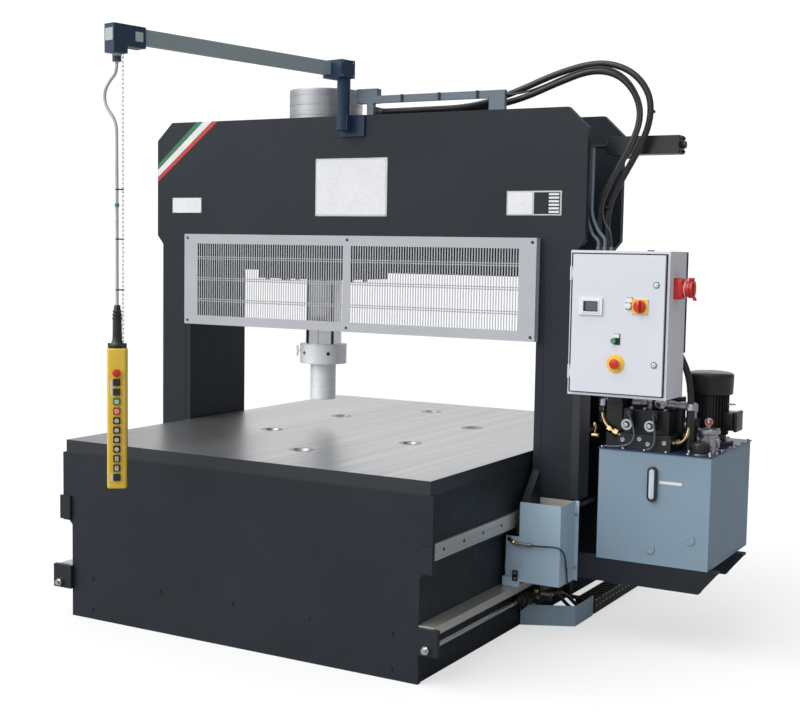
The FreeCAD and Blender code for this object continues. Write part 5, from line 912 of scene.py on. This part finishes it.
start = piece("start_cap", "start_button", green_cap, "green_plastic",
              on_door(turned([(0, -0.010), (0.0085, -0.010), (0.0085, 0.006), (0.013, 0.006), (0.013, 0.0145),
                              (0.0115, 0.016), (0.010, 0.0152), (0, 0.0152)], 32), *START))
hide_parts("start_button")
piece("start_mark", "start_button", enamel_white, "cabinet_paint",
      on_door(slab(0.0025, 0.010, 0.0005), *START, 0.0151))
piece("stop_disc", "door", plate_yellow, "yellow_plastic",
      on_door(capped(0.045, 0.0012, 0.043, 0.0018, 48), *STOP))
mushroom = piece("stop_mushroom", "cabinet_stop", red_shell, "red_plastic",
                 on_door(turned([(0, -0.010), (0.0085, -0.010), (0.0085, 0.012), (0.014, 0.016),
                                 (0.0235, 0.019), (0.0240, 0.023),
                                 (0.0215, 0.0275), (0.015, 0.0295), (0, 0.030)], 40), *STOP))
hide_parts("cabinet_stop")
lock_grey = planed("lock_grey", (0.22, 0.25, 0.29), (0.17, 0.20, 0.23), 0.30, (200, 200, 200))
give(lock_grey, "door_lock_upper", "door_lock_lower")
for label, body, z in (("upper", "upper_lock", 1.786), ("lower", "lower_lock", 1.414)):
    piece(f"{label}_lock_face", body, enamel_white, "cabinet_paint",
          on_door(capped(0.0105, 0.0012, 0.009, 0.0018, 28), 1.778, z, 0.003))
    piece(f"{label}_lock_slot", body, gauge_black, "black_plastic",
          on_door(slab(0.0022, 0.010, 0.0004), 1.778, z, 0.0046))

# Power inlet. A red moulded five-pin inlet on an angled housing, with a pale gasket behind its
# flange, a sprung lid over the mouth and a pull loop on the lid.

INLET_X, INLET_Y, INLET_Z = 1.836, -0.350, 1.770
give(red_shell, "power_inlet", "inlet_lid")


def on_inlet(shape, out, over=0.0):
    """A shape on the inlet's axis, looking outward."""
    return put(shape, (INLET_X + out, INLET_Y, INLET_Z + over), RIGHT)


piece("inlet_gasket", "portal", enamel_white, "cabinet_paint",
      on_inlet(slab(0.092, 0.108, 0.003, 0.004), 0.0))
piece("inlet_housing", "portal", red_shell, "red_plastic",
      on_inlet(slab(0.080, 0.098, 0.040, 0.014, 0.006, 5, 3), 0.004),
      on_inlet(turned([(0.036, 0), (0.043, 0.002), (0.043, 0.008), (0.0395, 0.010), (0.036, 0.010), (0.036, 0)],
                      40), 0.066))
piece("inlet_band", "portal", enamel_white, "cabinet_paint",
      on_inlet(ring(0.0388, 0.0016, 40), 0.052))
piece("lid_loop", "lid", red_shell, "red_plastic",
      on_inlet(slab(0.024, 0.058, 0.006, 0.006, 0.002, 4, 2), 0.087, -0.002),
      *[put(slab(0.006, 0.010, 0.022, 0.002), (INLET_X + 0.085, INLET_Y + s * 0.012, INLET_Z - 0.034),
            (0.5, 0, -0.86)) for s in (-1, 1)])

# Cable ducts. A lidded tray along the beam, a box at its end, a duct down the leg and two
# conduits into the cabinet's roof, with clips and screwed nuts where the hoses leave the beam.
# Blue-grey above, they are in the portal's own dark paint from the cabinet's roof down.

duct_blue = sprayed("duct_blue", (0.115, 0.150, 0.185), (0.130, 0.168, 0.205), (0.4, 0.42, 0.45), 0.38, 0.001)
duct_place = duct_blue.node_tree.nodes["Texture Coordinate"].outputs["Object"]
CABINET_ROOF = 1.941
painted_where(duct_blue, part_of(duct_blue.node_tree, duct_place, (0, 0, 1), -1.0, CABINET_ROOF), FRAME_PAINT,
              0.46)
give(duct_blue, "cable_ducts")
piece("tray_clips", "portal", dark_screws, "blackened_steel",
      *[put(slab(0.014, 0.006, 0.042), (x, -0.2685, 2.700)) for x in (0.30, 0.52, 0.74)])
piece("bulkhead_nuts", "portal", coil_ring, "cast_alloy",
      put(hex_head(0.022, 0.024), (0.124, -0.200, 2.664), RIGHT),
      put(hex_head(0.022, 0.024), (0.124, -0.164, 2.660), RIGHT))
piece("hose_ties", "portal", gauge_black, "black_plastic",
      put(sleeve(0.0165, 0.0195, -0.006, 0.006, 24),
          (1.603, -0.096, 2.620), (0.05, 0, -1)),
      put(slab(0.074, 0.040, 0.012, 0.019, 0.001, 6), (1.384, -0.127, 2.150), (0.0, 0.0, 1), (0.35, 1, 0)))

# Carriage and ram. A bored flange and a yoke welded from plate carry the turned main cylinder,
# and a black cross cylinder moves them. The rod is hard chromed, its collar and punch are bare.

give(barrel_paint, "carriage_barrel")
give(blue_grey, "carriage_frame")
navy_grey = sprayed("navy_grey", (0.014, 0.034, 0.072), (0.018, 0.040, 0.080), (0.15, 0.17, 0.2), 0.38,
                    specular=0.3)
give(navy_grey, "arm_bracket")
CROSS_Z, CYLINDER_X, COLLAR_RADIUS = 2.465, -0.344, 0.1315
piece("cross_gland", "portal", dark_screws, "blackened_steel",
      put(ring(0.044, 0.006, 28), (1.360, 0, CROSS_Z), RIGHT),
      *[put(hex_head(0.008, 0.007), (1.7305, y, CROSS_Z + z), RIGHT) for y in (-0.032, 0.032)
        for z in (-0.032, 0.032)])
cylinder_grey = planed("cylinder_grey", (0.46, 0.47, 0.49), (0.37, 0.38, 0.40), 0.36, (3, 3, 500), ease=0.014)
give(cylinder_grey, "main_cylinder")
piece("cylinder_rings", "carriage", cylinder_grey, "turned_steel",
      *[put(turned([(0.2045, 0), (0.2072, 0.001), (0.2072, 0.003), (0.2045, 0.004), (0.2045, 0)], 72),
            (CYLINDER_X, 0, z)) for z in (2.665, 2.720, 2.775)])
piece("flange_bolts", "carriage", bright_screws, "machined_steel",
      *[put(hex_head(0.012, 0.012), (x, -0.252, 1.7575), DOWN) for x in (-0.420, -0.260, -0.560, -0.128)])
chromed = planed("chromed", (0.82, 0.82, 0.84), (0.74, 0.74, 0.76), 0.05, (4, 4, 300))
give(chromed, "ram_rod")
satin_steel = planed("satin_steel", (0.90, 0.93, 0.95), (0.80, 0.83, 0.85), 0.42, (6, 6, 600), ease=0.006,
                     metal=0.35)
give(satin_steel, "tool_collar", "punch")
piece("collar_screw", "ram", dark_screws, "blackened_steel",
      put(socket_screw(0.010, 0.006), (CYLINDER_X + COLLAR_RADIUS * 0.70, -COLLAR_RADIUS * 0.71, 1.335),
          (0.70, -0.71, 0)),
      put(socket_screw(0.009, 0.005), (CYLINDER_X - COLLAR_RADIUS * 0.35, -COLLAR_RADIUS * 0.936, 1.335),
          (-0.35, -0.936, 0)))

# Pendant arm. A square tube on a pivot column, sprayed grey-green, with navy boxes at the elbow
# and at the head, whose outlet holds the cable in a screwed gland.

arm_grey = sprayed("arm_grey", (0.285, 0.350, 0.362), (0.305, 0.370, 0.382), (0.50, 0.54, 0.55), 0.42,
                   specular=0.3)
arm_place = arm_grey.node_tree.nodes["Texture Coordinate"].outputs["Object"]
AHEAD_ARM = (-math.sin(ARM_TURN), math.cos(ARM_TURN), 0)
ELBOW_END, HEAD_START = (sum(AHEAD_ARM[i] * ARM_PIVOT[i] for i in (0, 1)) + reach
                         for reach in (-0.0605, -1.2915))
for low, high in ((ELBOW_END, 9.0), (-9.0, HEAD_START)):
    painted_where(arm_grey, part_of(arm_grey.node_tree, arm_place, AHEAD_ARM, low, high), (0.026, 0.050, 0.092),
                  0.36)
give(arm_grey, "pendant_arm")


def on_arm(shape, aside, along, level, toward):
    """A shape placed and turned in the arm's own directions, from its pivot."""
    c, s = math.cos(ARM_TURN), math.sin(ARM_TURN)
    place = (ARM_PIVOT[0] + aside * c - along * s, ARM_PIVOT[1] + aside * s + along * c, level)
    return put(shape, place, (toward[0] * c - toward[1] * s, toward[0] * s + toward[1] * c, toward[2]))


pale_cap = sprayed("pale_cap", (0.42, 0.46, 0.48), (0.46, 0.50, 0.52), (0.6, 0.62, 0.64), 0.36)
piece("head_plates", "arm", pale_cap, "arm_paint",
      *[on_arm(slab(0.044, 0.044, 0.0015, 0.004), ARM_SHIFT + side * 0.0352, -1.330, 2.880, (side, 0, 0))
        for side in (1, -1)],
      on_arm(slab(0.056, 0.056, 0.0015, 0.004), ARM_SHIFT, -1.4722, 2.878, FRONT),
      on_arm(slab(0.060, 0.070, 0.0014, 0.008), ARM_SHIFT, -1.430, 2.9252, (0, 0, 1)))
piece("elbow_screws", "arm", bright_screws, "machined_steel",
      *[on_arm(dome_screw(0.004, 0.002), 0.0382, b, z, RIGHT) for b in (-0.048, 0.033) for z in (2.846, 2.915)])
piece("cable_gland", "arm", cable_sheath, "grey_sheath",
      put(turned([(0, 2.797), (0.0215, 2.797), (0.0215, 2.786), (0.018, 2.782), (0.0165, 2.768), (0.010, 2.757),
                  (0, 2.757)], 24), (HANG[0], HANG[1], 0)))

# Pendant. A tall yellow moulded case clipped to a black back half, under a ribbed rubber boot,
# hung from the arm's head by its cable and by a light steel chain.

CASE_TURN = math.radians(38)
CASE_UP = (-math.sin(CASE_TURN), math.cos(CASE_TURN), 0)


def on_case(shape, aside, deep, level, toward=(0, 0, 1)):
    """A shape placed in the case's own directions; the operators look toward minus deep."""
    c, s = math.cos(CASE_TURN), math.sin(CASE_TURN)
    place = (HANG[0] + aside * c - deep * s, HANG[1] + aside * s + deep * c, level)
    way = (toward[0] * c - toward[1] * s, toward[0] * s + toward[1] * c, toward[2])
    return put(shape, place, way, CASE_UP if abs(toward[2]) > 0.9 else None)


yellow_shell = moulded("yellow_shell", (0.82, 0.56, 0.055), (0.77, 0.51, 0.045), 0.36)
black_shell = moulded("black_shell", (0.014, 0.014, 0.016), (0.026, 0.026, 0.028), 0.38)
shell = piece("pendant_shell", "arm", yellow_shell, "yellow_plastic",
              on_case(slab(0.090, 0.056, 0.654, 0.013, 0.009, 5, 4), 0, -0.011, 0.800))
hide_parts("pendant_case")
piece("pendant_back", "arm", black_shell, "black_plastic",
      on_case(slab(0.092, 0.030, 0.648, 0.010, 0.006, 5, 3), 0, 0.024, 0.803),
      on_case(slab(0.078, 0.060, 0.020, 0.010, 0.004, 4, 2), 0, 0, 1.449),
      *[on_case(slab(0.012, 0.022, 0.036, 0.004, 0.002, 3, 2), side * 0.037, 0.004, 1.440) for side in (1, -1)])
BOOT_PROFILE = [(0, 1.462), (0.037, 1.462), (0.036, 1.470), (0.027, 1.478), (0.0225, 1.492),
                (0.0215, 1.510), (0.0205, 1.586), (0.0235, 1.589), (0.0235, 1.594), (0.0195, 1.597),
                (0.0195, 1.602), (0.0225, 1.605), (0.0225, 1.610), (0.0180, 1.613), (0.0180, 1.618),
                (0.0205, 1.621), (0.0205, 1.626), (0.0160, 1.630), (0.0150, 1.648), (0.0110, 1.653),
                (0, 1.653)]
piece("pendant_boot", "arm", hose_rubber, "black_rubber", put(turned(BOOT_PROFILE, 28), (HANG[0], HANG[1], 0)))
BUTTONS = [f"pendant_button_{i:02d}" for i in range(1, 12)]
give(black_shell, *BUTTONS)
give(green_cap, "pendant_button_03")
give(red_shell, "pendant_button_04")
CASE_FACE, BUTTON_FACE = -0.039, -0.0501
STOP_LEVEL, FIRST_LEVEL, LEVEL_STEP = 1.341, 1.297, 0.0443
LEVELS = [FIRST_LEVEL - LEVEL_STEP * i for i in range(11)]
pendant_stop = piece("pendant_mushroom", "pendant_stop", red_shell, "red_plastic",
                     on_case(turned([(0, -0.006), (0.009, -0.006), (0.009, 0.008), (0.016, 0.010),
                                     (0.019, 0.013), (0.0175, 0.019),
                                     (0.010, 0.0215), (0, 0.022)], 32), 0, CASE_FACE, STOP_LEVEL, FRONT))
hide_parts("pendant_stop")
piece("stop_collar", "arm", plate_yellow, "yellow_plastic",
      on_case(sleeve(0.0095, 0.020, 0, 0.003, 32), 0, CASE_FACE, STOP_LEVEL, FRONT))
piece("pendant_legends", "arm", enamel_white, "cabinet_paint",
      on_case(slab(0.010, 0.078, 0.0006), -0.0235, CASE_FACE, 1.275, FRONT),
      on_case(slab(0.010, 0.034, 0.0006), -0.0235, CASE_FACE, LEVELS[10], FRONT))
piece("operator_guard", "arm", gauge_black, "black_plastic",
      *[on_case(slab(0.033, 0.033, 0.0016, 0.003), 0, CASE_FACE, z, FRONT) for z in LEVELS])
white_mark = moulded("white_mark", (0.70, 0.71, 0.73), (0.62, 0.63, 0.65), 0.35)
for i in range(2, 10):
    if i < 8:
        mark = [on_case(sleeve(0.0045, 0.0095, 0, 0.0006, 24), 0, BUTTON_FACE, LEVELS[i], FRONT)]
        if i != 3:
            mark.append(on_case(slab(0.003, 0.015, 0.0008), 0, BUTTON_FACE, LEVELS[i], FRONT))
    else:
        mark = [on_case(slab(0.014, 0.004, 0.0006), 0, BUTTON_FACE, LEVELS[i] + dz, FRONT)
                for dz in (-0.008, 0.0, 0.008)]
        mark += [on_case(slab(0.004, 0.022, 0.0008), s * 0.006, BUTTON_FACE, LEVELS[i], FRONT) for s in (-1, 1)]
    piece(f"mark_{i + 1:02d}", BUTTONS[i], white_mark, "cabinet_paint", *mark)
piece("selector_knob", BUTTONS[10], black_shell, "black_plastic",
      on_case(slab(0.008, 0.022, 0.006, 0.003, 0.002, 3, 2), 0, BUTTON_FACE + 0.001, LEVELS[10], FRONT))

# Suspension chain. Short welded links of thin galvanised wire, each turned a quarter from the
# last, beside the cable, with two black ties and a green tag.

chain_steel = planed("chain_steel", (0.52, 0.53, 0.55), (0.40, 0.41, 0.43), 0.30, (200, 200, 200))
LINK_LONG, LINK_WIDE, LINK_WIRE = 0.0235, 0.011, 0.0022
around = np.linspace(0, 2 * math.pi, 11)
sides = np.linspace(0, 2 * math.pi, 6, endpoint=False)
outline = np.stack(((LINK_WIDE / 2) * np.cos(around), np.zeros(11),
                    (LINK_WIDE / 2) * np.sin(around) + np.sign(np.sin(around)) * (LINK_LONG - LINK_WIDE) / 2),
                   axis=-1)
outward = np.stack((np.cos(around), np.zeros(11), np.sin(around)), axis=-1)
link_grid = outline[:, None] + LINK_WIRE / 2 * (np.cos(sides)[None, :, None] * outward[:, None]
                                                + np.sin(sides)[None, :, None] * np.array((0, 1, 0)))
CHAIN_X, CHAIN_Y = HANG[0] + 0.020, HANG[1] + 0.018
CHAIN_TOP, CHAIN_FOOT = (CHAIN_X, CHAIN_Y, 2.790), (CHAIN_X, CHAIN_Y, 1.475)
link_count = int((CHAIN_TOP[2] - CHAIN_FOOT[2]) / (LINK_LONG - 2 * LINK_WIRE))
chain_line = np.linspace(CHAIN_TOP, CHAIN_FOOT, link_count)
piece("pendant_chain", "arm", chain_steel, "cast_alloy",
      *[put(skin(link_grid), place, (0, 0, 1), (0, 1, 0) if i % 2 else (1, 0, 0))
        for i, place in enumerate(chain_line)], smooth=70)
piece("cable_ties", "arm", gauge_black, "black_plastic",
      *[put(slab(0.040, 0.020, 0.006, 0.009, 0.001, 5), (HANG[0] + 0.009, HANG[1] + 0.008, z), (0, 0, 1),
            (-0.67, 0.74, 0)) for z in (2.180, 1.953, 1.72)])
tag_green = moulded("tag_green", (0.03, 0.30, 0.12), (0.03, 0.26, 0.10), 0.4)
piece("cable_tag", "arm", tag_green, "green_plastic",
      put(sleeve(0.0078, 0.0105, -0.008, 0.008, 20), (HANG[0], HANG[1], 2.111)))
